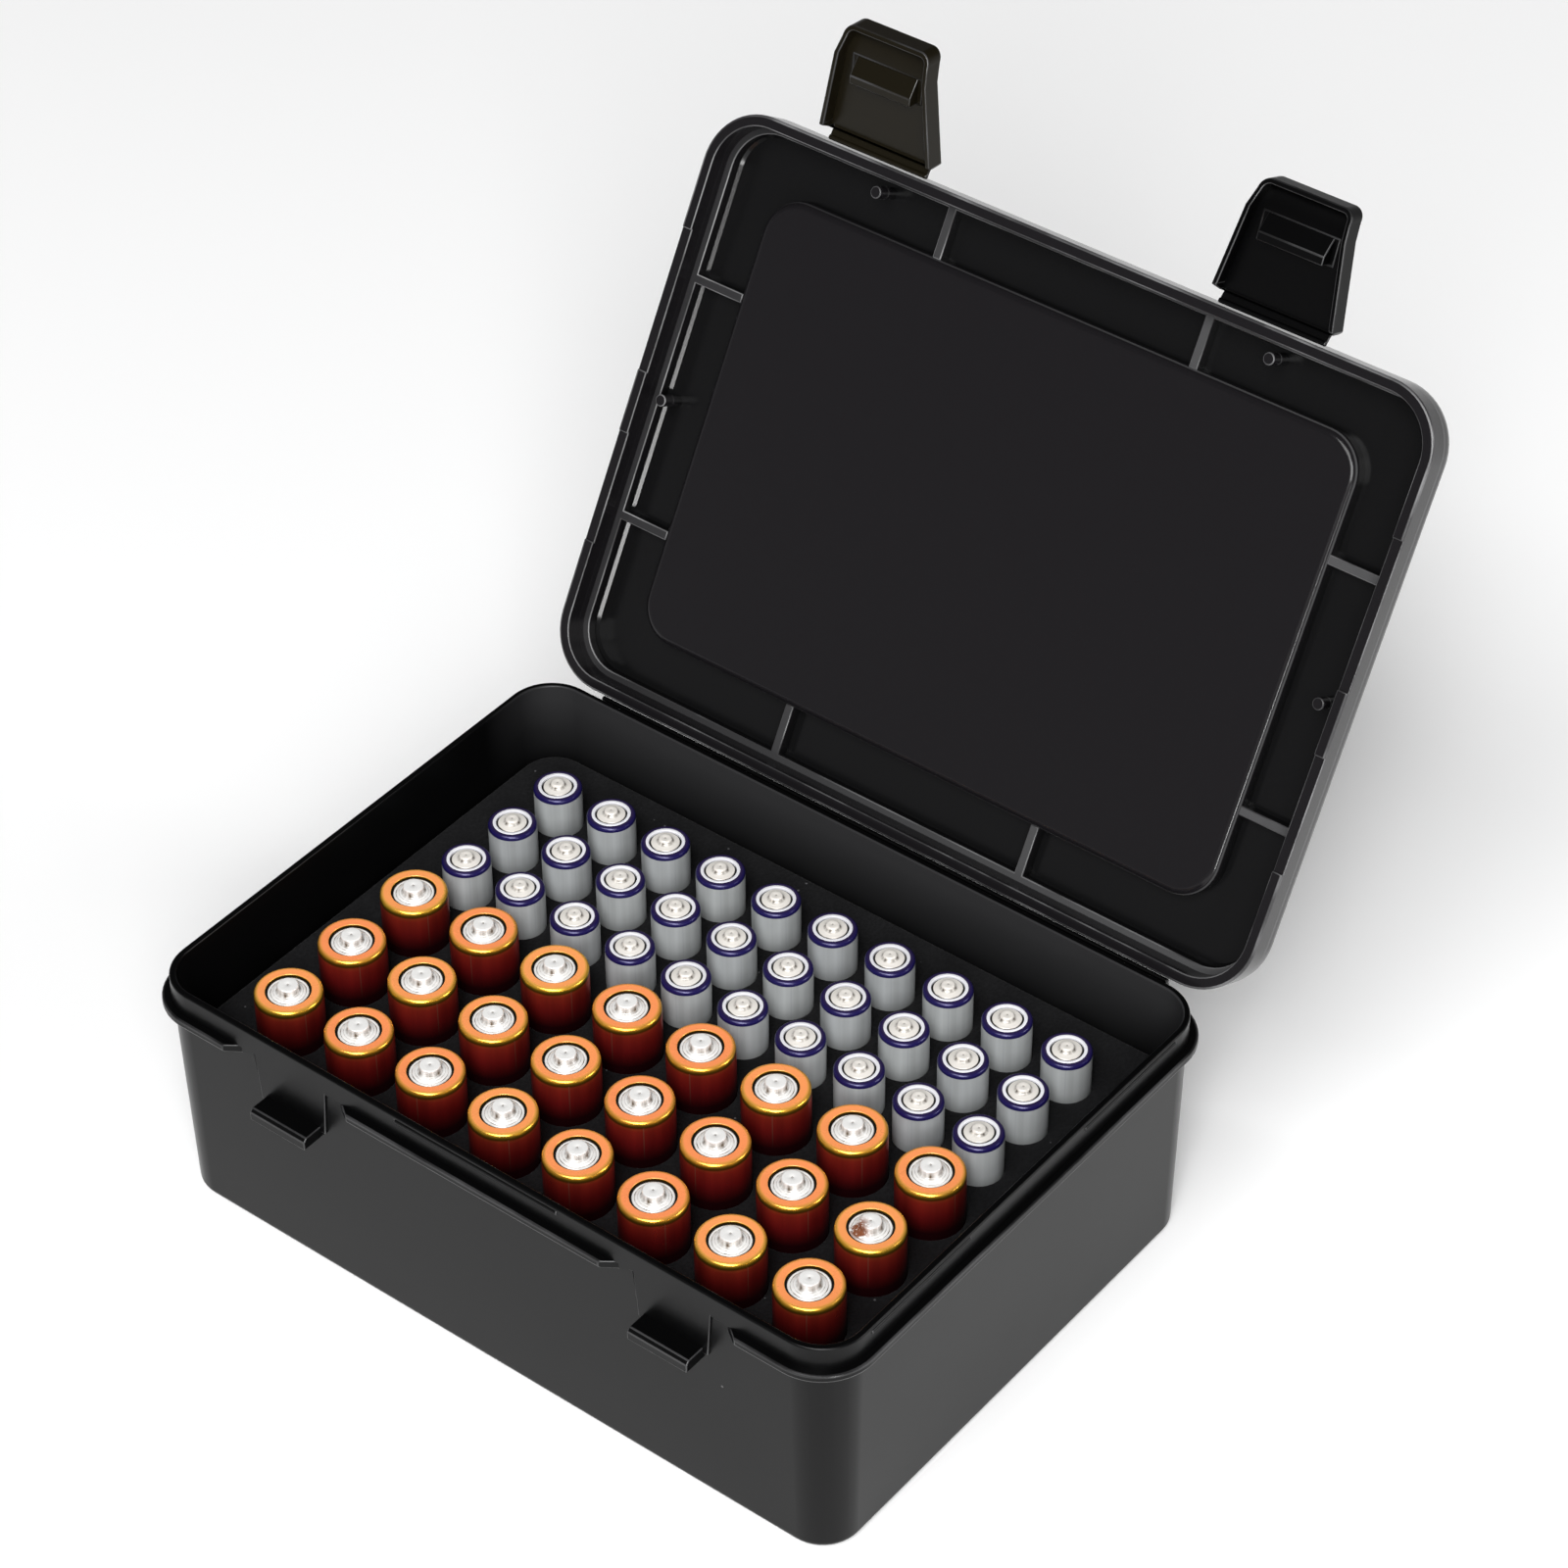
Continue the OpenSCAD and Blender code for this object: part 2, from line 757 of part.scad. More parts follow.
// Turned section of a cell: bottom disc, body, crimped shoulder, cap and button
module cell_section(d, h, cap_d, button_d, button_h) {
    r = d / 2;
    edge = 0.5;
    groove = 0.35;
    seal_r = cap_d / 2;
    button_r = button_d / 2;
    button_round = 0.35;
    flare_h = 0.25;
    flare_r = button_r + 0.9;
    polygon(concat(
        [[0, 0], [r - 2 * edge, 0], [r - 2 * edge + lap, groove]],
        arc([r - edge, groove + edge], edge, -90, 0),
        arc([r - edge, h - edge], edge, 0, 90),
        [
            [seal_r + groove, h],
            [seal_r, h - groove],
            [seal_r - groove, h - groove],
            [seal_r - groove - lap, h - lap / 2],
            [flare_r, h],
            [button_r + button_round, h + flare_h],
        ],
        arc([button_r - button_round, h + button_h - button_round], button_round, 0, 90),
        [[0, h + button_h]]
    ));
}

module aa_cell(row, column) {
    color(COPPER_COLOR)
        translate([column_x(column, aa_columns, aa_pitch), row_y(row, aa_front_y, aa_pitch), floor_t])
            rotate_extrude()
                cell_section(aa_d, aa_h, aa_cap_d, aa_button_d, aa_button_h);
}

module aaa_cell(row, column) {
    color(AAA_COLOR)
        translate([column_x(column, aaa_columns, aaa_pitch), row_y(row, aaa_front_y, aaa_pitch), aaa_z])
            rotate_extrude()
                cell_section(aaa_d, aaa_h, aaa_cap_d, aaa_button_d, aaa_button_h);
}

case_base();
lid();
latch_left();
latch_right();
foam_insert();
for (r = [1:aa_rows])
    for (c = [1:aa_columns])
        aa_cell(r, c);
for (r = [1:aaa_rows])
    for (c = [1:aaa_columns])
        aaa_cell(r, c);
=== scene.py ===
"""Looks of a battery storage case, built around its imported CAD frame.

Everything is in metres in the frame of the CAD model: X along the front of the case to
the right, Y from the front to the hinge, Z up, and the origin under the middle of the case.
"""

import logging
import math
from collections.abc import Callable, Sequence
from dataclasses import dataclass, field
from enum import Enum

import bmesh
import bpy
from mathutils import Matrix, Vector


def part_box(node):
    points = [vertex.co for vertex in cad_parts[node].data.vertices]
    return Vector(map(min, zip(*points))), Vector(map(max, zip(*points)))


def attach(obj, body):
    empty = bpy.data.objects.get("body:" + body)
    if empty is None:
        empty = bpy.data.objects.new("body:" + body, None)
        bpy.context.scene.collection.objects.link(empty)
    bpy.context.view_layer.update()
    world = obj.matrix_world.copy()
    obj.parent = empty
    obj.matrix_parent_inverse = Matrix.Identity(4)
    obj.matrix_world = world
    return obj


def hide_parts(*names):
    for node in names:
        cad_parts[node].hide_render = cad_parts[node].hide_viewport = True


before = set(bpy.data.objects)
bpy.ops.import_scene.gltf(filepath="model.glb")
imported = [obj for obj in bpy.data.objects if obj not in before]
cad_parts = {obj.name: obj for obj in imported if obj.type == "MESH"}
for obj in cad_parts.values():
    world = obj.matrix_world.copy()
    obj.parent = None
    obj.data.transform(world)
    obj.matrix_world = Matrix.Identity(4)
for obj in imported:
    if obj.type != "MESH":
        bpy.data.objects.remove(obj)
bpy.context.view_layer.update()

LOG = logging.getLogger("storage_case")
MM = 0.001
WRAP_MAP = "wrap"
WRAP_PER_METRE = 10.0
TONE = "tone"
CELL_TONE = "cell_tone"
TURNED_SHARP_ANGLE = math.radians(50)

Socket = bpy.types.NodeSocket
Node = bpy.types.Node
Mesh = bpy.types.Mesh
Colour = tuple[float, float, float]
Place = tuple[float, float, float]
Pair = tuple[float, float]


class Slot(Enum):
    """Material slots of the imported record."""

    CASE = "case_plastic"
    FOAM = "foam"
    LARGE_CELL = "large_cell_sleeve"
    SMALL_CELL = "small_cell_sleeve"


class Body(Enum):
    """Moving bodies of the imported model."""

    CASE = "case"
    LID = "lid"
    LEFT_LATCH = "left_latch"
    RIGHT_LATCH = "right_latch"


def rgba(colour: Colour) -> tuple[float, float, float, float]:
    """Gives a colour its alpha."""
    return (*colour, 1.0)


class NodeWriter:
    """Adds and joins nodes in one node tree."""

    def __init__(self, tree: bpy.types.NodeTree) -> None:
        """Keeps the tree that the nodes go into.

        Args:
            tree: A shader or geometry node tree.
        """
        self.tree = tree

    def feed(self, socket: Socket, value: object) -> None:
        """Links a socket to an input, or sets the input's value.

        Args:
            socket: The input.
            value: Another node's output, or a plain value. A colour gets its alpha here.
        """
        if isinstance(value, Socket):
            self.tree.links.new(value, socket)
        else:
            socket.default_value = rgba(value) if socket.type == "RGBA" else value

    def add(self, kind: str, inputs: dict | None = None, **settings: object) -> Node:
        """Adds a node.

        Args:
            kind: The node's type name.
            inputs: Values or sockets for its inputs, by name or index.
            **settings: Other properties of the node.

        Returns:
            The new node.
        """
        node = self.tree.nodes.new(kind)
        for name, value in settings.items():
            setattr(node, name, value)
        for key, value in (inputs or {}).items():
            self.feed(node.inputs[key], value)
        return node

    def math(self, operation: str, *values: object) -> Socket:
        """Adds a Math node and returns its result."""
        node = self.add("ShaderNodeMath", operation=operation)
        for index, value in enumerate(values):
            self.feed(node.inputs[index], value)
        return node.outputs[0]

    def times(self, first: object, second: object) -> Socket:
        """Multiplies two values."""
        return self.math("MULTIPLY", first, second)

    def vector_math(self, operation: str, first: object, second: object) -> Socket:
        """Adds a Vector Math node and returns its value."""
        node = self.add("ShaderNodeVectorMath", {0: first, 1: second}, operation=operation)
        return node.outputs["Value"]

    def mix(self, factor: object, first: object, second: object, blend: str = "MIX") -> Socket:
        """Mixes two colours.

        Args:
            factor: Share of the second colour.
            first: The first colour or its socket.
            second: The second colour or its socket.
            blend: The blend type.

        Returns:
            The mixed colour.
        """
        node = self.add("ShaderNodeMix", data_type="RGBA", blend_type=blend)
        for index, value in ((0, factor), (6, first), (7, second)):
            self.feed(node.inputs[index], value)
        return node.outputs[2]

    def remap(
        self, value: Socket, low: float, high: float, to_low: float = 0.0, to_high: float = 1.0
    ) -> Socket:
        """Maps a value from one range to another and clamps it."""
        ends = {"From Min": low, "From Max": high, "To Min": to_low, "To Max": to_high}
        return self.add("ShaderNodeMapRange", {"Value": value, **ends}).outputs[0]

    def ramp(self, factor: Socket, stops: Sequence[tuple[float, Colour]]) -> Socket:
        """Runs a value through a colour ramp.

        Args:
            factor: The value.
            stops: Position and colour of each stop, in order.

        Returns:
            The ramp's colour.
        """
        node = self.add("ShaderNodeValToRGB", {"Fac": factor})
        elements = node.color_ramp.elements
        while len(elements) < len(stops):
            elements.new(1.0)
        for element, (place, colour) in zip(elements, stops, strict=True):
            element.position = place
            element.color = rgba(colour)
        return node.outputs[0]

    def noise(self, vector: Socket, scale: object, detail: float = 3.0, roughness: float = 0.5) -> Socket:
        """Adds a Noise Texture and returns its value."""
        wanted = {"Vector": vector, "Scale": scale, "Detail": detail, "Roughness": roughness}
        return self.add("ShaderNodeTexNoise", wanted).outputs[0]

    def line_noise(self, place: Socket, scale: Socket) -> Socket:
        """Noise that changes along one value only."""
        line = self.add("ShaderNodeCombineXYZ", {"X": self.times(place, scale)}).outputs[0]
        return self.noise(line, 1.0, 2.0, 0.5)

    def attribute(self, name: str) -> Socket:
        """Reads a value that the mesh stores."""
        return self.add("ShaderNodeAttribute", attribute_name=name).outputs["Fac"]

    def object_place(self) -> Socket:
        """Reads the place on the piece, in Object coordinates."""
        return self.add("ShaderNodeTexCoord").outputs["Object"]

    def split(self, vector: Socket) -> Sequence[Socket]:
        """Splits a vector into X, Y and Z."""
        return self.add("ShaderNodeSeparateXYZ", {"Vector": vector}).outputs

    def wrap(self) -> Sequence[Socket]:
        """Reads the wrap map: the place round a turned piece and the place along its profile."""
        return self.split(self.add("ShaderNodeUVMap", uv_map=WRAP_MAP).outputs[0])


class ShaderGroup:
    """A shader node group with named inputs and outputs, built once."""

    def __init__(self, name: str, inputs: dict[str, float], outputs: Sequence[str]) -> None:
        """Starts an empty group.

        Args:
            name: The group's name.
            inputs: The named inputs with their first values.
            outputs: Names of the outputs, each a value.
        """
        self.tree = bpy.data.node_groups.new(name, "ShaderNodeTree")
        face = self.tree.interface
        for label, value in inputs.items():
            socket = face.new_socket(name=label, in_out="INPUT", socket_type="NodeSocketFloat")
            socket.default_value = value
        for label in outputs:
            face.new_socket(name=label, in_out="OUTPUT", socket_type="NodeSocketFloat")
        self.writer = NodeWriter(self.tree)
        self.given = self.writer.add("NodeGroupInput").outputs
        self.result = self.writer.add("NodeGroupOutput").inputs

    def place(self, writer: NodeWriter, **values: object) -> Node:
        """Places the group in a material.

        Args:
            writer: The material's writer.
            **values: Values for the inputs, with underscores for spaces.

        Returns:
            The group node.
        """
        node = writer.add("ShaderNodeGroup", node_tree=self.tree)
        for name, value in values.items():
            writer.feed(node.inputs[name.replace("_", " ")], value)
        return node


class SharedEffects:
    """The surface effects that more than one material uses."""

    def __init__(self) -> None:
        """Builds each group once."""
        self.grain = self._moulding_grain()
        self.specks = self._dust_specks()
        self.edge_highlight = self._edge_highlight_stretches()
        self.turning = self._turning_marks()
        self.streaks = self._reflection_streaks_around()

    @staticmethod
    def _moulding_grain() -> ShaderGroup:
        """Fine grain with slow flow marks, as moulded plastic and foil have."""
        scales = {"Grain Scale": 2500.0, "Flow Scale": 18.0, "Flow Share": 0.4}
        group = ShaderGroup("moulding_grain", scales, ("Height", "Variation"))
        writer = group.writer
        place = writer.object_place()
        fine = writer.noise(place, group.given["Grain Scale"], 2.0, 0.6)
        slow = writer.noise(place, group.given["Flow Scale"], 4.0, 0.55)
        shared = writer.times(slow, group.given["Flow Share"])
        writer.feed(group.result["Height"], writer.math("ADD", fine, shared))
        writer.feed(group.result["Variation"], writer.math("SUBTRACT", slow, 0.5))
        return group

    @staticmethod
    def _dust_specks() -> ShaderGroup:
        """Small scattered specks, each in its own cell of a Voronoi pattern."""
        group = ShaderGroup("dust_specks", {"Scale": 300.0, "Size": 0.12, "Share": 0.1}, ("Mask",))
        writer = group.writer
        place = writer.object_place()
        cells = writer.add("ShaderNodeTexVoronoi", {"Vector": place, "Scale": group.given["Scale"]})
        near = writer.math("LESS_THAN", cells.outputs["Distance"], group.given["Size"])
        pick = writer.add("ShaderNodeSeparateColor", {"Color": cells.outputs["Color"]}).outputs[0]
        chosen = writer.math("LESS_THAN", pick, group.given["Share"])
        writer.feed(group.result["Mask"], writer.times(near, chosen))
        return group

    @staticmethod
    def _edge_highlight_stretches() -> ShaderGroup:
        """Broken stretches of painted highlight, for the fine radius along an edge."""
        group = ShaderGroup("edge_highlight_stretches", {"Break Scale": 60.0}, ("Mask",))
        writer = group.writer
        place = writer.object_place()
        # Painted highlight: where along the edge it shows.
        painted_edge_light = writer.remap(writer.noise(place, group.given["Break Scale"], 3.0), 0.42, 0.62, 0.2, 1.0)
        writer.feed(group.result["Mask"], painted_edge_light)
        return group

    @staticmethod
    def _turning_marks() -> ShaderGroup:
        """Fine concentric marks on turned or pressed metal, from the wrap map's height."""
        group = ShaderGroup("turning_marks", {"Ring Scale": 900.0}, ("Height",))
        writer = group.writer
        rings = writer.line_noise(writer.wrap()[1], group.given["Ring Scale"])
        writer.feed(group.result["Height"], rings)
        return group

    @staticmethod
    def _reflection_streaks_around() -> ShaderGroup:
        """Soft upright streaks of painted reflection round a turned piece, and the place round it."""
        group = ShaderGroup("reflection_streaks_around", {"Count": 9.0}, ("Mask", "Around"))
        writer = group.writer
        around = writer.wrap()[0]
        streaks = writer.line_noise(around, group.given["Count"])
        writer.feed(group.result["Mask"], writer.remap(streaks, 0.38, 0.62))
        writer.feed(group.result["Around"], around)
        return group


class Finish:
    """A material that a piece wears."""

    name: str

    def dress(self, writer: NodeWriter, shader: Node, effects: SharedEffects) -> None:
        """Joins the finish's own nodes to the shader."""
        raise NotImplementedError

    def build(self, effects: SharedEffects) -> bpy.types.Material:
        """Makes the material.

        Args:
            effects: The shared node groups.

        Returns:
            A node material with a Principled shader.
        """
        material = bpy.data.materials.new(self.name)
        material.use_nodes = True
        material.node_tree.nodes.clear()
        writer = NodeWriter(material.node_tree)
        shader = writer.add("ShaderNodeBsdfPrincipled")
        output = writer.add("ShaderNodeOutputMaterial")
        writer.feed(output.inputs["Surface"], shader.outputs[0])
        self.dress(writer, shader, effects)
        return material


def bump(writer: NodeWriter, shader: Node, height: Socket, strength: float, depth: float) -> None:
    """Feeds a height to the shader's normal.

    Args:
        writer: The material's writer.
        shader: The Principled shader.
        height: The height value.
        strength: Strength of the bump.
        depth: Depth of the relief in metres.
    """
    node = writer.add("ShaderNodeBump", {"Height": height, "Strength": strength, "Distance": depth})
    writer.feed(shader.inputs["Normal"], node.outputs[0])


@dataclass(frozen=True)
class BlackPlastic(Finish):
    """Black moulded plastic with a soft gloss."""

    name: str
    colour: Colour = (0.0035, 0.0035, 0.0035)
    speck_colour: Colour = (0.1, 0.1, 0.1)
    speck_share: float = 0.0
    specular: float = 0.24
    roughness: float = 0.3
    roughness_spread: float = 0.1
    grain: float = 0.2
    grain_depth: float = 0.01 * MM

    def dress(self, writer: NodeWriter, shader: Node, effects: SharedEffects) -> None:
        """Adds grain and specks."""
        grain = effects.grain.place(writer)
        specks = effects.specks.place(writer, Share=self.speck_share).outputs["Mask"]
        writer.feed(shader.inputs["Base Color"], writer.mix(specks, self.colour, self.speck_colour))
        spread = writer.times(grain.outputs["Variation"], self.roughness_spread)
        writer.feed(shader.inputs["Roughness"], writer.math("ADD", spread, self.roughness))
        shader.inputs["Specular IOR Level"].default_value = self.specular
        bump(writer, shader, grain.outputs["Height"], self.grain, self.grain_depth)


@dataclass(frozen=True)
class CasePlastic(BlackPlastic):
    """The same plastic, with painted light that makes the inside of the back wall paler toward the rim."""

    # Painted light: the paler colour of the back wall's inside.
    painted_light_colour: Colour = (0.024, 0.024, 0.025)
    corner: Pair = (76.7 * MM, 51.3 * MM)
    wall_middle: float = 9.15 * MM
    painted_light_height: Pair = (36 * MM, 54 * MM)
    painted_light_depth: Pair = (40 * MM, 58 * MM)

    def dress(self, writer: NodeWriter, shader: Node, effects: SharedEffects) -> None:
        """Adds the painted light on the inside of the back wall to the plain finish."""
        super().dress(writer, shader, effects)
        outside = shader.inputs["Base Color"].links[0].from_socket
        x, y, z = writer.split(writer.object_place())
        squares = []
        for place_along, corner in ((writer.math("ABSOLUTE", x), self.corner[0]), (y, self.corner[1])):
            past = writer.math("MAXIMUM", writer.math("SUBTRACT", place_along, corner), 0.0)
            squares.append(writer.math("POWER", past, 2.0))
        inside = writer.math("LESS_THAN", writer.math("SQRT", writer.math("ADD", *squares)), self.wall_middle)
        high = writer.remap(z, *self.painted_light_height)
        deep = writer.remap(y, *self.painted_light_depth)
        # Painted light: share of the paler colour, high and far back on the inside of the wall.
        pale = writer.times(inside, writer.times(high, deep))
        writer.feed(shader.inputs["Base Color"], writer.mix(pale, outside, self.painted_light_colour))


@dataclass(frozen=True)
class LidPlastic(BlackPlastic):
    """The same plastic, with painted shade darkening the lid's sunk floor and a painted highlight on the tops
    of its ribs, stronger toward the right.
    """

    # Painted shade: the darker colour of the sunk floor.
    floor_colour: Colour = (0.0042, 0.0042, 0.0044)
    hinge: Place = (0.0, 65.65 * MM, 53.4 * MM)
    open_angle: float = math.radians(120)
    floor_depth: float = 7.9 * MM
    step: Pair = (1.0 * MM, 3.6 * MM)
    # Painted highlight on the rib tops: its colour, the tops' height above the floor, its reach and its share
    # from left to right.
    painted_highlight_colour: Colour = (0.06, 0.06, 0.0615)
    highlight_level: float = 3.3 * MM
    highlight_reach: Pair = (0.1 * MM, 0.3 * MM)
    highlight_side: Pair = (-75 * MM, 60 * MM)

    def dress(self, writer: NodeWriter, shader: Node, effects: SharedEffects) -> None:
        """Adds the painted shade on the sunk floor and the painted highlight on the rib tops to the plain
        finish.
        """
        super().dress(writer, shader, effects)
        raised = shader.inputs["Base Color"].links[0].from_socket
        place = writer.object_place()
        inward = Vector((0.0, -math.sin(self.open_angle), -math.cos(self.open_angle)))
        level = writer.vector_math("DOT_PRODUCT", place, inward)
        floor = inward.dot(Vector(self.hinge)) - self.floor_depth
        high = writer.remap(level, floor + self.step[0], floor + self.step[1])
        # Painted shade: the sunk floor darker than the raised parts.
        plain = writer.mix(high, self.floor_colour, raised)
        # Painted highlight: paler on the rib tops, stronger toward the right.
        off_top = writer.math("ABSOLUTE", writer.math("SUBTRACT", level, floor + self.highlight_level))
        top = writer.remap(off_top, *self.highlight_reach, 1.0, 0.0)
        side = writer.remap(writer.split(place)[0], *self.highlight_side, 0.3, 1.0)
        painted_highlight = writer.times(top, side)
        writer.feed(shader.inputs["Base Color"], writer.mix(painted_highlight, plain, self.painted_highlight_colour))


@dataclass(frozen=True)
class EdgeHighlightPlastic(Finish):
    """The same plastic on its rounded edges, with a painted highlight in broken stretches along them."""

    name: str
    colour: Colour
    # Painted highlight colour on the edges.
    edge_highlight_colour: Colour
    roughness: float = 0.25
    highlight_roughness: float = 0.15

    def dress(self, writer: NodeWriter, shader: Node, effects: SharedEffects) -> None:
        """Adds the stretches of painted highlight."""
        edge_highlight = effects.edge_highlight.place(writer).outputs["Mask"]
        writer.feed(shader.inputs["Base Color"], writer.mix(edge_highlight, self.colour, self.edge_highlight_colour))
        rougher = writer.times(edge_highlight, self.highlight_roughness)
        writer.feed(shader.inputs["Roughness"], writer.math("ADD", rougher, self.roughness))


@dataclass(frozen=True)
class BlackFoam(Finish):
    """Closed-cell foam: matte black with a fine open grain and a little lint."""

    name: str
    colour: Colour = (0.005, 0.005, 0.0054)
    light_colour: Colour = (0.016, 0.016, 0.0174)
    lint_colour: Colour = (0.09, 0.09, 0.095)
    cell_scale: float = 1400.0
    depth: float = 0.15 * MM

    def dress(self, writer: NodeWriter, shader: Node, effects: SharedEffects) -> None:
        """Adds the grain of the cells and the lint."""
        place = writer.object_place()
        cells = writer.add("ShaderNodeTexVoronoi", {"Vector": place, "Scale": self.cell_scale})
        pores = cells.outputs["Distance"]
        cloud = writer.noise(place, 90.0, 4.0, 0.6)
        shade = writer.times(pores, cloud)
        base = writer.mix(shade, self.colour, self.light_colour)
        lint = effects.specks.place(writer, Scale=650.0, Size=0.16, Share=0.05).outputs["Mask"]
        writer.feed(shader.inputs["Base Color"], writer.mix(lint, base, self.lint_colour))
        shader.inputs["Roughness"].default_value = 0.95
        shader.inputs["Specular IOR Level"].default_value = 0.12
        shader.inputs["Sheen Weight"].default_value = 0.03
        shader.inputs["Sheen Roughness"].default_value = 0.5
        bump(writer, shader, writer.math("ADD", pores, cloud), 0.7, self.depth)


@dataclass(frozen=True)
class SleeveFoil(Finish):
    """Metallic printed foil, in zones that follow the sleeve's profile."""

    name: str
    zones: tuple[tuple[float, Colour], ...]
    tints: tuple[Colour, Colour]
    roughness: Pair
    metallic: Pair
    # Painted shade: the dark colour that the sleeve turns toward the foot, also the colour of the reflection
    # streaks.
    painted_shade_colour: Colour
    painted_shade_height: Pair
    # Strength of the painted reflection streaks on the side of the sleeve.
    reflection_stripes: float
    seam_colour: Colour
    seam_place: float = 0.746
    seam_width: float = 0.0035
    side_tone: float = 0.4

    def dress(self, writer: NodeWriter, shader: Node, effects: SharedEffects) -> None:
        """Adds the colour zones, the seam, the painted reflection streaks, the painted shade toward the foot
        and the differences between cells.
        """
        zone = writer.attribute(TONE)
        own = writer.attribute(CELL_TONE)
        tint = writer.ramp(own, ((0.0, self.tints[0]), (1.0, self.tints[1])))
        printed = writer.mix(1.0, writer.ramp(zone, self.zones), tint, "MULTIPLY")
        on_side = writer.math("LESS_THAN", zone, self.side_tone)
        around = effects.streaks.place(writer, Count=11.0)
        # Painted reflection: soft darker upright streaks on the side of the sleeve.
        shade = writer.times(writer.times(around.outputs["Mask"], self.reflection_stripes), on_side)
        reflection_striped = writer.mix(shade, printed, self.painted_shade_colour)
        off_seam = writer.math("ABSOLUTE", writer.math("SUBTRACT", around.outputs["Around"], self.seam_place))
        line = writer.remap(off_seam, self.seam_width * 0.4, self.seam_width, 0.7, 0.0)
        seamed = writer.mix(writer.times(line, on_side), reflection_striped, self.seam_colour)
        # Painted shade: darker toward the foot, where the cell stands in the foam.
        height = writer.split(writer.object_place())[2]
        foot_shade = writer.remap(height, *self.painted_shade_height, 1.0, 0.0)
        writer.feed(shader.inputs["Base Color"], writer.mix(foot_shade, seamed, self.painted_shade_colour))
        grain = effects.grain.place(writer, Grain_Scale=900.0, Flow_Scale=160.0, Flow_Share=1.2)
        gloss = writer.remap(zone, 0.3, 0.7, *self.roughness)
        spread = writer.times(grain.outputs["Variation"], 0.15)
        writer.feed(shader.inputs["Roughness"], writer.math("ADD", gloss, spread))
        writer.feed(shader.inputs["Metallic"], writer.remap(zone, 0.6, 0.78, *self.metallic))
        bump(writer, shader, grain.outputs["Height"], 0.04, 0.03 * MM)


@dataclass(frozen=True)
class CapSteel(Finish):
    """Bright pressed steel, with painted shade and painted reflection streaks in its hollows, and a rusty
    patch on one cap.
    """

    name: str
    colour: Colour = (0.97, 0.96, 0.94)
    shade: Colour = (0.1, 0.065, 0.035)
    roughness: float = 0.36
    metallic: float = 0.25
    rust_colour: Colour = (0.2, 0.06, 0.02)
    rust_place: Sequence[float] = (0.0, 0.0, -1.0)
    rust_reach: float = 3.0 * MM
    rust_roughness: float = 0.5
    ring_roughness: float = 0.06

    def dress(self, writer: NodeWriter, shader: Node, effects: SharedEffects) -> None:
        """Adds turning marks, painted shade streaked like reflections in the hollows, and the rust."""
        place = writer.object_place()
        painted_cap_shade = writer.attribute(TONE)
        streaks = effects.streaks.place(writer, Count=9.0).outputs["Mask"]
        streaked = writer.remap(streaks, 0.0, 1.0, 0.15, 1.0)
        # Painted shade, streaked like reflections, where the profile's tone marks a hollow.
        steel = writer.mix(writer.times(painted_cap_shade, streaked), self.colour, self.shade)
        away = writer.vector_math("DISTANCE", place, self.rust_place)
        near = writer.remap(away, self.rust_reach * 0.5, self.rust_reach, 1.0, 0.0)
        patch = writer.remap(writer.noise(place, 900.0, 5.0, 0.7), 0.42, 0.5)
        rust = writer.times(near, patch)
        writer.feed(shader.inputs["Base Color"], writer.mix(rust, steel, self.rust_colour))
        writer.feed(shader.inputs["Metallic"], writer.math("SUBTRACT", self.metallic, rust))
        rings = effects.turning.place(writer).outputs["Height"]
        low, high = self.roughness - self.ring_roughness, self.roughness + self.ring_roughness
        gloss = writer.remap(rings, 0.3, 0.7, low, high)
        rougher = writer.times(rust, self.rust_roughness)
        writer.feed(shader.inputs["Roughness"], writer.math("ADD", rougher, gloss))
        bump(writer, shader, rings, 0.12, 0.02 * MM)


@dataclass(frozen=True)
class PlainPlastic(Finish):
    """A small plain plastic piece with a fine grain, such as a seal."""

    name: str
    colour: Colour
    roughness: float = 0.35

    def dress(self, writer: NodeWriter, shader: Node, effects: SharedEffects) -> None:
        """Adds the grain."""
        grain = effects.grain.place(writer, Grain_Scale=3000.0)
        dark = tuple(0.8 * part for part in self.colour)
        shade = writer.remap(grain.outputs["Variation"], -0.2, 0.2)
        writer.feed(shader.inputs["Base Color"], writer.mix(shade, self.colour, dark))
        shader.inputs["Roughness"].default_value = self.roughness
        bump(writer, shader, grain.outputs["Height"], 0.2, 0.01 * MM)


def new_object(name: str, mesh: Mesh) -> bpy.types.Object:
    """Links a mesh to the scene as an object at the origin."""
    made = bpy.data.objects.new(name, mesh)
    bpy.context.scene.collection.objects.link(made)
    return made


def finished(piece: bpy.types.Object) -> bpy.types.Object:
    """Turns a piece's modifiers into its plain mesh.

    Args:
        piece: An object with modifiers.

    Returns:
        The same object with the evaluated mesh and no modifiers.
    """
    bpy.context.view_layer.update()
    depsgraph = bpy.context.evaluated_depsgraph_get()
    evaluated = piece.evaluated_get(depsgraph)
    mesh = bpy.data.meshes.new_from_object(evaluated, preserve_all_data_layers=True, depsgraph=depsgraph)
    piece.modifiers.clear()
    piece.data = mesh
    return piece


def settle(piece: bpy.types.Object, body: Body, nodes: Sequence[str] = ()) -> None:
    """Makes a piece ride on its body and stand for its CAD nodes.

    Args:
        piece: The finished piece.
        body: The body that carries it.
        nodes: The CAD nodes that it stands for.
    """
    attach(piece, body.value)
    if nodes:
        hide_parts(*nodes)
    LOG.info("%s rides on %s with %d faces", piece.name, body.value, len(piece.data.polygons))


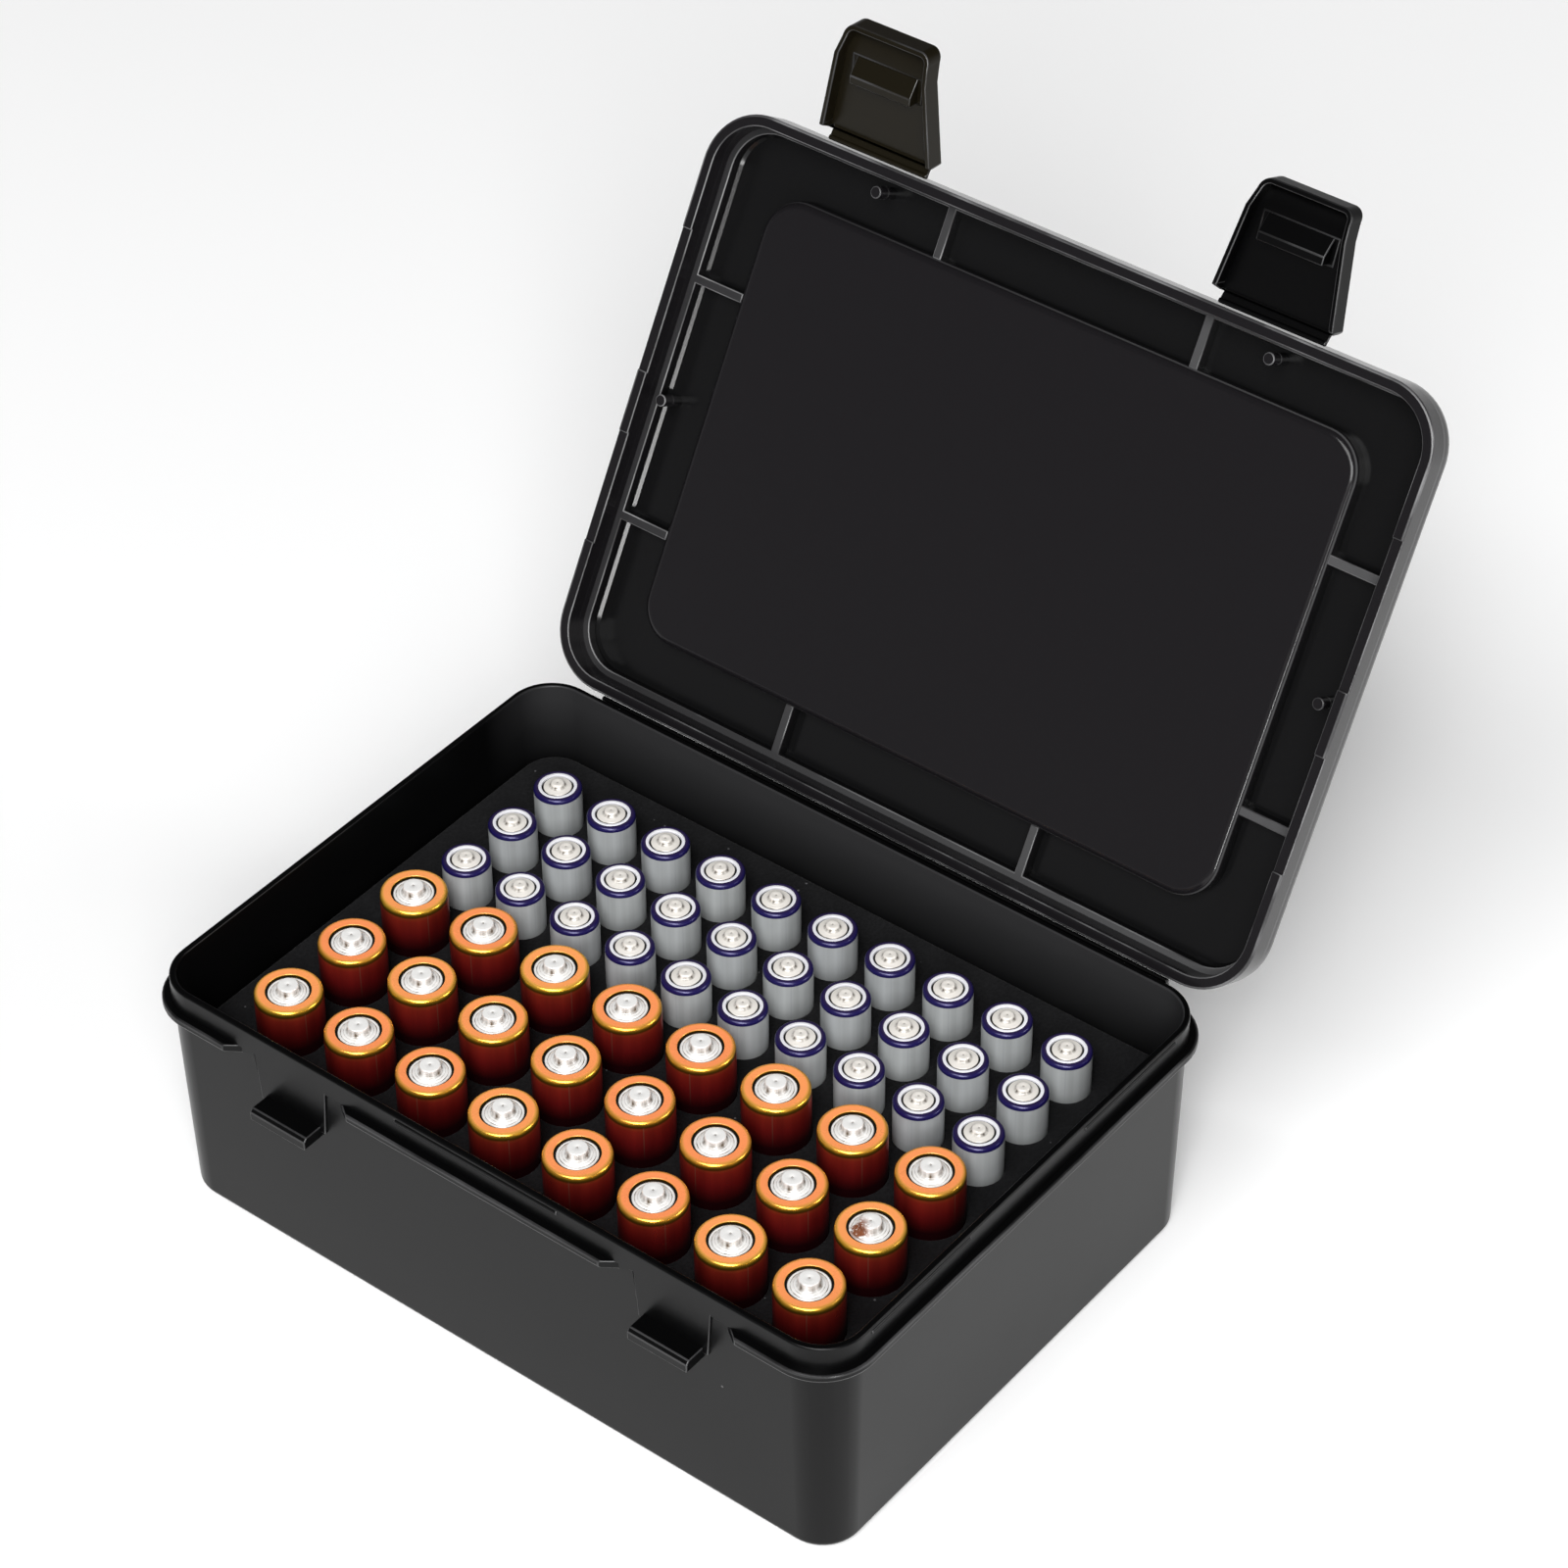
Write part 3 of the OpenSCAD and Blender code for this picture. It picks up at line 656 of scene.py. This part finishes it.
@dataclass
class MouldedPart:
    """A moulded piece: its CAD solid, with the outer sharp edges broken by a fine radius."""

    node: str
    piece: str
    body: Body
    slot: Slot
    finish: Finish
    edge_finish: Finish
    edge_radius: float = 0.22 * MM
    edge_steps: int = 2
    sharp_angle: float = math.radians(28)
    flat_angle: float = math.radians(0.4)
    weld: float = 0.002 * MM

    def build(self, effects: SharedEffects) -> bpy.types.Object:
        """Makes the piece and settles it on its body.

        Args:
            effects: The shared node groups.

        Returns:
            The finished piece.
        """
        mesh = self._welded()
        piece = new_object(self.piece, mesh)
        mesh.materials.append(self.finish.build(effects))
        mesh.materials.append(self.edge_finish.build(effects))
        edge = piece.modifiers.new("edge", "BEVEL")
        edge.width = self.edge_radius
        edge.segments = self.edge_steps
        edge.limit_method = "WEIGHT"
        edge.use_clamp_overlap = False
        edge.material = 1
        shading = piece.modifiers.new("shading", "WEIGHTED_NORMAL")
        shading.keep_sharp = True
        shading.weight = 100
        finished(piece)
        settle(piece, self.body, [self.node])
        return piece

    def _welded(self) -> Mesh:
        """Joins the loose triangles of a copy of the CAD mesh and marks its outer edges."""
        shape = bmesh.new()
        shape.from_mesh(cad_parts[self.node].data)
        bmesh.ops.remove_doubles(shape, verts=shape.verts, dist=self.weld)
        bmesh.ops.dissolve_limit(shape, angle_limit=self.flat_angle, verts=shape.verts, edges=shape.edges)
        weight = shape.edges.layers.float.new("bevel_weight_edge")
        for edge in shape.edges:
            if edge.is_manifold and edge.calc_face_angle_signed() > self.sharp_angle:
                edge[weight] = 1.0
        mesh = bpy.data.meshes.new(self.piece)
        shape.to_mesh(mesh)
        shape.free()
        mesh.attributes.remove(mesh.attributes["custom_normal"])
        mesh.shade_smooth()
        mesh.set_sharp_from_angle(angle=self.sharp_angle)
        return mesh


def case_part(
    node: str, piece: str, body: Body, finish: BlackPlastic, painted_edge_light: Colour = (0.03, 0.03, 0.031)
) -> MouldedPart:
    """A part of the case's own plastic, with its edges in the same black under a painted highlight.

    Args:
        node: The CAD node that it stands for.
        piece: Its name.
        body: The body that carries it.
        finish: Its plastic.
        painted_edge_light: Colour of the painted highlight along the edges.

    Returns:
        The part, ready to build.
    """
    # Painted highlight along the rounded edges, broken into stretches.
    edge = EdgeHighlightPlastic(f"{body.value}_highlighted_edge", finish.colour, painted_edge_light)
    return MouldedPart(node, piece, body, Slot.CASE, finish, edge)


@dataclass(frozen=True)
class TurnedPoint:
    """A point of a turned profile, in metres, with its tone for the finish."""

    radius: float
    height: float
    tone: float = 0.0


def beside(radius: float, height: float, *steps: tuple[float, ...]) -> list[TurnedPoint]:
    """Points of a turned profile, measured from one corner of it.

    Args:
        radius: The corner's distance from the axis, in metres.
        height: The corner's height, in metres.
        *steps: For each point the millimetres outward and up, and its tone where that isn't 0.

    Returns:
        The points.
    """
    return [TurnedPoint(radius + out * MM, height + up * MM, *tone) for out, up, *tone in steps]


def turned(
    name: str,
    profile: Sequence[TurnedPoint],
    sides: int,
    ring: bool = False,
    ripple: Callable[[float, TurnedPoint], float] | None = None,
) -> Mesh:
    """Turns a profile about the Z axis into a closed mesh.

    Args:
        name: The mesh's name.
        profile: Points from the foot outward, up and inward.
        sides: Number of faces round the axis.
        ring: True for a profile that closes on itself, False for one with its ends on the axis.
        ripple: Gives a change of radius for an angle and a point, if any.

    Returns:
        The mesh, with the wrap map and the tone attribute.
    """
    shape = bmesh.new()
    wrap = shape.loops.layers.uv.new(WRAP_MAP)
    tone = shape.verts.layers.float.new(TONE)
    rows: list[list[bmesh.types.BMVert]] = []
    along = [0.0]
    for before, after in zip(profile, profile[1:]):
        along.append(along[-1] + math.hypot(after.radius - before.radius, after.height - before.height))
    for point in profile:
        row = []
        for side in range(1 if point.radius == 0.0 else sides):
            angle = math.tau * side / sides
            radius = point.radius + (ripple(angle, point) if ripple else 0.0)
            vert = shape.verts.new((radius * math.cos(angle), radius * math.sin(angle), point.height))
            vert[tone] = point.tone
            row.append(vert)
        rows.append(row)
    pairs = list(zip(range(len(rows) - 1), range(1, len(rows))))
    if ring:
        pairs.append((len(rows) - 1, 0))
    for low, high in pairs:
        for side in range(sides):
            after = (side + 1) % sides
            corners = [(low, side, side), (low, after, side + 1), (high, after, side + 1), (high, side, side)]
            if len(rows[low]) == 1:
                corners.pop(1)
            if len(rows[high]) == 1:
                corners.pop(-2)
            verts = [rows[row][place % len(rows[row])] for row, place, _ in corners]
            face = shape.faces.new(verts)
            face.smooth = True
            for loop, (row, _, step) in zip(face.loops, corners):
                loop[wrap].uv = (step / sides, along[row] * WRAP_PER_METRE)
    mesh = bpy.data.meshes.new(name)
    shape.to_mesh(mesh)
    shape.free()
    mesh.set_sharp_from_angle(angle=TURNED_SHARP_ANGLE)
    return mesh


def arc(
    radius: float, height: float, reach: float, start: float, end: float, steps: int, tones: Pair = (0.0, 0.0)
) -> list[TurnedPoint]:
    """Points of an arc in a turned profile.

    Args:
        radius: Distance of the arc's middle from the axis.
        height: Height of the arc's middle.
        reach: Radius of the arc.
        start: First angle in degrees, from straight out.
        end: Last angle in degrees.
        steps: Number of stretches.
        tones: Tone at the start and at the end.

    Returns:
        The arc's points.
    """
    points = []
    for step in range(steps + 1):
        share = step / steps
        angle = math.radians(start + (end - start) * share)
        tone = tones[0] + (tones[1] - tones[0]) * share
        points.append(TurnedPoint(radius + reach * math.cos(angle), height + reach * math.sin(angle), tone))
    return points


class GridTree:
    """Geometry Nodes that stand copies of a piece on a grid, each turned by chance."""

    def __init__(self) -> None:
        """Builds the tree."""
        self.tree = bpy.data.node_groups.new("cells_on_grid", "GeometryNodeTree")
        self.tree.is_modifier = True
        face = self.tree.interface
        inputs = {"Cell": "Geometry", "Columns": "Int", "Rows": "Int", "Column Pitch": "Float"}
        inputs |= {"Row Pitch": "Float", "Middle": "Vector", "Turn": "Float"}
        inputs |= {"Seed": "Int", "Finish": "Material"}
        self.sockets = {
            label: face.new_socket(name=label, in_out="INPUT", socket_type=f"NodeSocket{kind}")
            for label, kind in inputs.items()
        }
        face.new_socket(name="Cells", in_out="OUTPUT", socket_type="NodeSocketGeometry")
        self._fill()

    def _fill(self) -> None:
        """Adds the nodes."""
        writer = NodeWriter(self.tree)
        given = writer.add("NodeGroupInput").outputs
        wanted = {}
        for axis, line in (("X", "Column"), ("Y", "Row")):
            count = given[f"{line}s"]
            wanted[f"Vertices {axis}"] = count
            wanted[f"Size {axis}"] = writer.times(writer.math("SUBTRACT", count, 1.0), given[f"{line} Pitch"])
        grid = writer.add("GeometryNodeMeshGrid", wanted).outputs["Mesh"]
        wanted = {"Geometry": grid, "Translation": given["Middle"]}
        placed = writer.add("GeometryNodeTransform", wanted).outputs[0]
        turn = writer.add("FunctionNodeRandomValue", {"Seed": given["Seed"]}, data_type="FLOAT")
        writer.feed(turn.inputs[3], given["Turn"])
        spin = writer.add("ShaderNodeCombineXYZ", {"Z": turn.outputs[1]}).outputs[0]
        angle = writer.add("FunctionNodeEulerToRotation", {"Euler": spin}).outputs[0]
        wanted = {"Points": placed, "Instance": given["Cell"], "Rotation": angle}
        copies = writer.add("GeometryNodeInstanceOnPoints", wanted).outputs[0]
        next_seed = writer.math("ADD", given["Seed"], 1.0)
        own = writer.add("FunctionNodeRandomValue", {"Seed": next_seed}, data_type="FLOAT").outputs[1]
        toned = writer.add("GeometryNodeStoreNamedAttribute", data_type="FLOAT", domain="INSTANCE")
        for label, value in (("Geometry", copies), ("Name", CELL_TONE), ("Value", own)):
            writer.feed(toned.inputs[label], value)
        real = writer.add("GeometryNodeRealizeInstances", {"Geometry": toned.outputs[0]}).outputs[0]
        dressed = writer.add("GeometryNodeSetMaterial", {"Geometry": real, "Material": given["Finish"]})
        writer.add("NodeGroupOutput", {"Cells": dressed.outputs[0]})

    def apply(self, piece: bpy.types.Object, values: dict[str, object]) -> None:
        """Puts the copies in the place of a piece's own mesh.

        Args:
            piece: The object with one cell's mesh.
            values: The inputs by name.
        """
        modifier = piece.modifiers.new("cells", "NODES")
        modifier.node_group = self.tree
        for label, value in values.items():
            modifier[self.sockets[label].identifier] = value
        finished(piece)


COPPER_FOIL = SleeveFoil(
    name="copper_and_wine_foil",
    zones=(
        (0.0, (0.7, 0.04, 0.035)), (0.28, (0.7, 0.1, 0.035)),
        # The dark olive stop at 0.42 is also the painted shade on the shoulder's sunk inner wall.
        (0.42, (0.12, 0.065, 0.006)), (0.56, (0.9, 0.55, 0.05)),
        (0.68, (1.0, 0.5, 0.1)), (0.8, (1.0, 0.38, 0.13)),
    ),
    tints=((1.0, 0.8, 0.85), (1.0, 1.0, 0.9)),
    roughness=(0.3, 0.28),
    metallic=(0.8, 0.12),
    painted_shade_colour=(0.045, 0.004, 0.007),
    painted_shade_height=(40.5 * MM, 49 * MM),
    reflection_stripes=0.35,
    seam_colour=(0.5, 0.16, 0.1),
)
GREY_FOIL = SleeveFoil(
    name="grey_and_blue_foil",
    zones=(
        (0.0, (0.5, 0.52, 0.52)), (0.38, (0.5, 0.52, 0.52)),
        (0.42, (0.01, 0.006, 0.075)), (0.7, (0.012, 0.008, 0.08)),
        # Painted light: the stops at 0.85 and 1.0 make the shoulder's flat top paler toward its inner edge.
        (0.85, (0.03, 0.02, 0.075)), (1.0, (0.055, 0.04, 0.11)),
    ),
    tints=((0.92, 0.92, 0.94), (1.0, 1.0, 1.0)),
    roughness=(0.4, 0.25),
    metallic=(0.2, 0.3),
    painted_shade_colour=(0.3, 0.31, 0.31),
    painted_shade_height=(38 * MM, 41 * MM),
    reflection_stripes=0.6,
    seam_colour=(0.35, 0.36, 0.38),
)
BLACK_SEAL = (0.008, 0.008, 0.008)


@dataclass
class CellBlock:
    """A block of like cells: sleeve, seal and cap, each one piece with all its copies."""

    prefix: str
    columns: int
    rows: int
    slot: Slot
    seed: int
    sides: int = 64
    turn: float = 1.4
    button_height: float = 1.0 * MM
    radius: float = field(init=False)
    height: float = field(init=False)
    middle: Vector = field(init=False)
    column_pitch: float = field(init=False)
    row_pitch: float = field(init=False)

    def __post_init__(self) -> None:
        """Reads the sizes and places from the frame."""
        low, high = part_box(self.node(1, 1))
        far_low, far_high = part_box(self.node(self.rows, self.columns))
        self.radius = (high.x - low.x) / 2
        self.height = high.z - low.z
        self.column_pitch = (far_low.x - low.x) / (self.columns - 1)
        self.row_pitch = (far_low.y - low.y) / (self.rows - 1)
        self.middle = (low + far_high) / 2
        self.middle.z = low.z

    @property
    def top(self) -> float:
        """Height of the flat shoulder."""
        return self.height - self.button_height

    def node(self, row: int, column: int) -> str:
        """Name of the CAD node of one cell."""
        return f"{self.prefix}_cell_r{row}_c{column}"

    def nodes(self) -> list[str]:
        """Names of all the block's CAD nodes."""
        return [self.node(r, c) for r in range(1, self.rows + 1) for c in range(1, self.columns + 1)]

    def spread(
        self, mesh: Mesh, finish: bpy.types.Material, grid: GridTree, stands_for: bool = False
    ) -> None:
        """Stands copies of a mesh at all the cells and settles them.

        Args:
            mesh: One cell's mesh, named as the piece.
            finish: Its material.
            grid: The Geometry Nodes tree.
            stands_for: True where the copies replace the CAD cells.
        """
        piece = new_object(mesh.name, mesh)
        values = {"Columns": self.columns, "Rows": self.rows, "Column Pitch": self.column_pitch}
        values |= {"Row Pitch": self.row_pitch, "Middle": self.middle, "Turn": self.turn}
        grid.apply(piece, {**values, "Seed": self.seed, "Finish": finish})
        settle(piece, Body.CASE, self.nodes() if stands_for else ())


@dataclass
class LargeCells(CellBlock):
    """The large cells, with copper shoulders and stepped caps."""

    button_height: float = 1.5 * MM
    seal_radius: float = 4.72 * MM
    cap_radius: float = 4.25 * MM
    button_radius: float = 2.2 * MM
    roll: float = 0.8 * MM
    ripple_depth: float = 0.05 * MM
    ripple_count: int = 17
    rust_offset: Place = (-1.1 * MM, -2.0 * MM, 0.0)

    def build(self, effects: SharedEffects, grid: GridTree) -> None:
        """Makes sleeves, seals and caps."""
        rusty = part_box(self.node(2, self.columns))
        rust = (rusty[0] + rusty[1]) / 2
        rust += Vector(self.rust_offset)
        rust.z = rusty[1].z - self.button_height
        steel = CapSteel(name="bright_cap_steel", rust_place=rust)
        self.spread(self._sleeve(), COPPER_FOIL.build(effects), grid, True)
        self.spread(self._seal(), PlainPlastic("black_seal", BLACK_SEAL).build(effects), grid)
        self.spread(self._cap(), steel.build(effects), grid)

    def _ripple(self, angle: float, point: TurnedPoint) -> float:
        """Small waves of the shrunk foil where it rolls over the shoulder."""
        below = (self.top - point.height) / self.roll
        if point.radius < self.radius - self.roll or not 0 <= below <= 2:
            return 0.0
        wave = math.sin(self.ripple_count * angle) + 0.6 * math.sin(7 * angle + 1.0)
        return -self.ripple_depth * (1 + wave / 1.6) * math.sin(math.pi * below / 2) ** 2

    def _sleeve(self) -> Mesh:
        """The can in its foil, from the foot to the inner edge of the shoulder."""
        foot = 0.6 * MM
        wall = self.radius
        profile = [TurnedPoint(0.0, 0.0)]
        profile += arc(wall - foot, foot, foot, -90, 0, 4)
        profile += [TurnedPoint(wall, self.top * share) for share in (0.3, 0.6, 0.75, 0.88)]
        profile += beside(wall, self.top, (0, -2.4, 0.1), (0, -1.7, 0.28), (0, -1.25, 0.42), (0, -0.95, 0.44))
        profile += arc(wall - self.roll, self.top - self.roll, self.roll, 0, 90, 8, (0.46, 0.74))
        inner = self.seal_radius
        profile += beside(wall, self.top, (-1.2, -0.02, 0.85))
        profile += beside(inner, self.top, (0.4, -0.06, 1.0))
        profile += arc(inner + 0.2 * MM, self.top - 0.26 * MM, 0.2 * MM, 90, 180, 4, (0.95, 0.5))
        # Painted shade: the sunk inner wall under the seal takes the dark olive tone 0.42.
        profile += beside(inner, self.top, (0, -0.32, 0.42), (0, -1.2, 0.42))
        profile += beside(0.0, self.top, (0, -1.2, 0.42))
        return turned("large_cell_sleeves", profile, self.sides, ripple=self._ripple)

    def _seal(self) -> Mesh:
        """The dark ring between the shoulder and the cap."""
        top = self.top - 0.6 * MM
        outer = self.seal_radius + 0.05 * MM
        inner = self.cap_radius - 0.3 * MM
        low = top - 0.4 * MM
        profile = [TurnedPoint(inner, low), TurnedPoint(outer, low)]
        profile += beside(outer, top, (0, -0.1), (-0.1, 0))
        profile += beside(inner, top, (0.1, 0), (0, -0.1))
        return turned("large_cell_seals", profile, self.sides, ring=True)

    def _cap(self) -> Mesh:
        """The stepped cap with its button."""
        edge = self.cap_radius
        base = self.top - 0.45 * MM
        button = self.button_radius
        crown = self.height
        # The tones set the painted shade on the cap: 1.0 darkest, in the hollows and at the button's foot.
        profile = beside(0.0, base, (0, -0.4, 1.0)) + beside(edge, base, (-0.15, -0.4, 1.0))
        profile += arc(edge - 0.2 * MM, base - 0.2 * MM, 0.2 * MM, 0, 90, 4, (0.8, 0.0))
        profile += beside(edge, base, (-0.48, 0), (-0.54, -0.05, 1.0), (-0.64, -0.05, 1.0), (-0.7, 0.04))
        profile += beside(button, base, (0.92, 0.1, 0.1), (0.86, 0.12, 0.9), (0.8, 0.22, 0.2), (0.5, 0.26))
        profile += arc(button + 0.38 * MM, base + 0.62 * MM, 0.36 * MM, 270, 180, 4, (0.6, 1.0))
        profile += beside(button, base, (0, 0.9, 1.0)) + beside(button, crown, (0, -0.5, 0.75))
        profile += arc(button - 0.3 * MM, crown - 0.3 * MM, 0.3 * MM, 0, 90, 5, (0.6, 0.0))
        profile += beside(button * 0.5, crown, (0, -0.02))
        profile += beside(0.0, crown, (0.3, -0.03), (0.2, -0.1, 1.0), (0, -0.12, 1.0))
        return turned("large_cell_caps", profile, self.sides)


@dataclass
class SmallCells(CellBlock):
    """The small cells, with blue shoulders, white rings and low caps."""

    ring_radius: float = 4.15 * MM
    seal_radius: float = 3.45 * MM
    cap_radius: float = 3.05 * MM
    button_radius: float = 1.4 * MM
    roll: float = 0.7 * MM
    sides: int = 56

    def build(self, effects: SharedEffects, grid: GridTree) -> None:
        """Makes sleeves, rings, seals and caps."""
        steel = CapSteel(name="warm_cap_steel", colour=(0.92, 0.88, 0.82), shade=(0.05, 0.035, 0.02))
        self.spread(self._sleeve(), GREY_FOIL.build(effects), grid, True)
        self.spread(self._ring(), PlainPlastic("white_ring", (0.8, 0.8, 0.84), 0.25).build(effects), grid)
        self.spread(self._seal(), PlainPlastic("black_gap_seal", BLACK_SEAL).build(effects), grid)
        self.spread(self._cap(), steel.build(effects), grid)

    def _sleeve(self) -> Mesh:
        """The can in its foil, from the foot to the white ring."""
        foot = 0.5 * MM
        wall = self.radius
        profile = [TurnedPoint(0.0, 0.0)]
        profile += arc(wall - foot, foot, foot, -90, 0, 4)
        profile += [TurnedPoint(wall, self.top * share) for share in (0.4, 0.7, 0.85)]
        profile += beside(wall, self.top, (0, -1.06, 0.36), (0, -1.0, 0.44))
        profile += arc(wall - self.roll, self.top - self.roll, self.roll, 0, 90, 7, (0.55, 0.85))
        inner = self.ring_radius
        profile += beside(inner, self.top, (0, -0.03, 1.0), (0, -0.8, 1.0))
        profile += beside(0.0, self.top, (0, -0.8, 1.0))
        return turned("small_cell_sleeves", profile, self.sides)

    def _ring(self) -> Mesh:
        """The white ring round the cap."""
        outer = self.ring_radius + 0.02 * MM
        inner = self.seal_radius
        low = self.top - 0.8 * MM
        profile = [TurnedPoint(inner, low), TurnedPoint(outer, low)]
        profile += arc(outer - 0.15 * MM, self.top - 0.1 * MM, 0.15 * MM, 0, 90, 3)
        profile += arc(inner + 0.15 * MM, self.top - 0.1 * MM, 0.15 * MM, 90, 180, 3)
        return turned("small_cell_rings", profile, self.sides, ring=True)

    def _seal(self) -> Mesh:
        """The dark gap between the ring and the cap."""
        top = self.top - 0.55 * MM
        outer = self.seal_radius + 0.03 * MM
        inner = self.cap_radius - 0.2 * MM
        profile = beside(inner, top, (0, -0.3)) + beside(outer, top, (0, -0.3), (0, 0))
        profile += beside(inner, top, (0, 0))
        return turned("small_cell_seals", profile, self.sides, ring=True)

    def _cap(self) -> Mesh:
        """The low cone of the cap with its button."""
        edge = self.cap_radius
        base = self.top - 0.2 * MM
        button = self.button_radius
        crown = self.height
        # The tones set the painted shade on the cap: darkest in the hollows and at the button's foot.
        profile = beside(0.0, base, (0, -0.3, 1.0)) + beside(edge, base, (-0.1, -0.3, 1.0))
        profile += arc(edge - 0.15 * MM, base - 0.05 * MM, 0.15 * MM, 0, 90, 3, (0.9, 0.0))
        profile += beside(edge, base, (-0.7, 0.16))
        profile += beside(button, base, (0.6, 0.24, 0.05), (0.32, 0.32, 0.7))
        profile += beside(button, base, (0.14, 0.46, 0.95), (0.04, 0.66, 0.9))
        profile += arc(button - 0.3 * MM, crown - 0.3 * MM, 0.3 * MM, 0, 90, 4, (0.2, 0.0))
        profile += beside(0.0, crown, (0.3, -0.04), (0.15, -0.1, 0.8), (0, -0.1, 0.8))
        return turned("small_cell_caps", profile, self.sides)


@dataclass
class Viewpoint:
    """The camera, at the photograph's viewing angle."""

    azimuth: float = math.radians(38.65)
    elevation: float = math.radians(40.29)
    roll: float = math.radians(-0.68)
    distance: float = 0.94206
    target: Place = (0.01518, 0.01623, 0.10836)
    lens: float = 111.65

    def build(self) -> None:
        """Adds the camera and makes it the scene's own."""
        flat = math.cos(self.elevation)
        x, y = math.sin(self.azimuth) * flat, -math.cos(self.azimuth) * flat
        back = Vector((x, y, math.sin(self.elevation)))
        right = (-back).cross(Vector((0, 0, 1))).normalized()
        up = right.cross(-back)
        side = math.cos(self.roll) * right + math.sin(self.roll) * up
        top = math.cos(self.roll) * up - math.sin(self.roll) * right
        camera = bpy.data.objects.new("camera", bpy.data.cameras.new("camera"))
        camera.data.lens = self.lens
        camera.data.clip_start = 0.01
        turn = Matrix((side, top, back)).transposed().to_4x4()
        camera.matrix_world = Matrix.Translation(Vector(self.target) + back * self.distance) @ turn
        bpy.context.scene.collection.objects.link(camera)
        bpy.context.scene.camera = camera


@dataclass(frozen=True)
class Softbox:
    """A soft rectangular light that points at the case."""

    name: str
    place: Place
    size: Pair
    power: float
    aim: Place = (0.0, 0.0, 0.08)

    def build(self) -> None:
        """Adds the light."""
        light = bpy.data.lights.new(self.name, "AREA")
        light.shape = "RECTANGLE"
        light.size, light.size_y = self.size
        light.energy = self.power
        lamp = bpy.data.objects.new(self.name, light)
        lamp.location = self.place
        toward = Vector(self.aim) - Vector(self.place)
        lamp.rotation_mode = "QUATERNION"
        lamp.rotation_quaternion = toward.to_track_quat("-Z", "Y")
        bpy.context.scene.collection.objects.link(lamp)


@dataclass
class Studio:
    """Pale floor, surroundings and soft lights."""

    floor_half: float = 6.0
    floor_colour: Colour = (0.96, 0.96, 0.96)
    backdrop: Colour = (1.0, 1.0, 1.0)
    horizon: Colour = (0.6, 0.59, 0.61)
    zenith: Colour = (0.03, 0.03, 0.03)
    lights: tuple[Softbox, ...] = (
        Softbox("overhead", (0.4, -1.8, 2.9), (2.0, 1.3), 76.0),
        Softbox("key", (1.9, -2.5, 2.3), (1.8, 1.8), 132.0),
        Softbox("right_rim", (3.5, 2.0, 1.5), (1.3, 2.0), 52.0),
        Softbox("right_strip", (2.4, -1.55, 0.22), (0.22, 0.4), 14.0),
    )

    def build(self) -> None:
        """Adds the floor, the surroundings and the lights."""
        self._floor()
        self._surroundings()
        for light in self.lights:
            light.build()
        bpy.context.scene.view_settings.view_transform = "Standard"

    def _floor(self) -> None:
        """A matte pale sheet on the plane that the case stands on."""
        half = self.floor_half
        mesh = bpy.data.meshes.new("floor")
        corners = [(-half, -half, 0), (half, -half, 0), (half, half, 0), (-half, half, 0)]
        mesh.from_pydata(corners, [], [(0, 1, 2, 3)])
        material = bpy.data.materials.new("pale_floor")
        material.use_nodes = True
        shader = material.node_tree.nodes["Principled BSDF"]
        shader.inputs["Base Color"].default_value = rgba(self.floor_colour)
        shader.inputs["Roughness"].default_value = 0.9
        shader.inputs["Specular IOR Level"].default_value = 0.1
        mesh.materials.append(material)
        new_object("floor", mesh)

    def _surroundings(self) -> None:
        """Pale near the horizon and dark overhead."""
        world = bpy.data.worlds.new("studio")
        world.use_nodes = True
        bpy.context.scene.world = world
        writer = NodeWriter(world.node_tree)
        background = world.node_tree.nodes["Background"]
        direction = writer.add("ShaderNodeTexCoord").outputs["Generated"]
        rise = writer.split(direction)[2]
        sky = writer.ramp(rise, ((0.0, self.horizon), (0.4, self.zenith)))
        seen = writer.add("ShaderNodeLightPath").outputs["Is Camera Ray"]
        writer.feed(background.inputs["Color"], writer.mix(seen, sky, self.backdrop))


def main() -> None:
    """Builds every piece in order."""
    logging.basicConfig(level=logging.INFO, format="%(name)s: %(message)s")
    Viewpoint().build()
    Studio().build()
    effects = SharedEffects()
    # The case, lid and latches are one black plastic; their different base colours are painted light and
    # shade: the lid and the left latch paler, the left one also warmer, and the case and the right latch
    # darker.
    case_plastic = CasePlastic("case_plastic", (0.0015, 0.0015, 0.0016), speck_share=0.008, specular=0.17)
    lid_plastic = LidPlastic("lid_plastic", (0.0075, 0.0069, 0.0078), roughness=0.18, roughness_spread=0.06)
    left_plastic = BlackPlastic("left_latch_plastic", (0.007, 0.0056, 0.0028), specular=0.14)
    right_plastic = BlackPlastic("right_latch_plastic", (0.001, 0.001, 0.0011), specular=0.09)
    for part in (
        case_part("case_base", "case_shell", Body.CASE, case_plastic),
        # The lid's edges get a brighter painted highlight than the other parts.
        case_part("lid", "lid_shell", Body.LID, lid_plastic, painted_edge_light=(0.13, 0.13, 0.133)),
        case_part("latch_left", "left_latch_tray", Body.LEFT_LATCH, left_plastic),
        case_part("latch_right", "right_latch_tray", Body.RIGHT_LATCH, right_plastic),
    ):
        part.build(effects)
    foam = MouldedPart(
        "foam_insert", "foam_block", Body.CASE, Slot.FOAM, BlackFoam("black_foam"), BlackFoam("foam_edge")
    ).build(effects)
    grid = GridTree()
    LargeCells("aa", 8, 3, Slot.LARGE_CELL, seed=3).build(effects, grid)
    SmallCells("aaa", 10, 3, Slot.SMALL_CELL, seed=11).build(effects, grid)


if __name__ == "__main__":
    main()
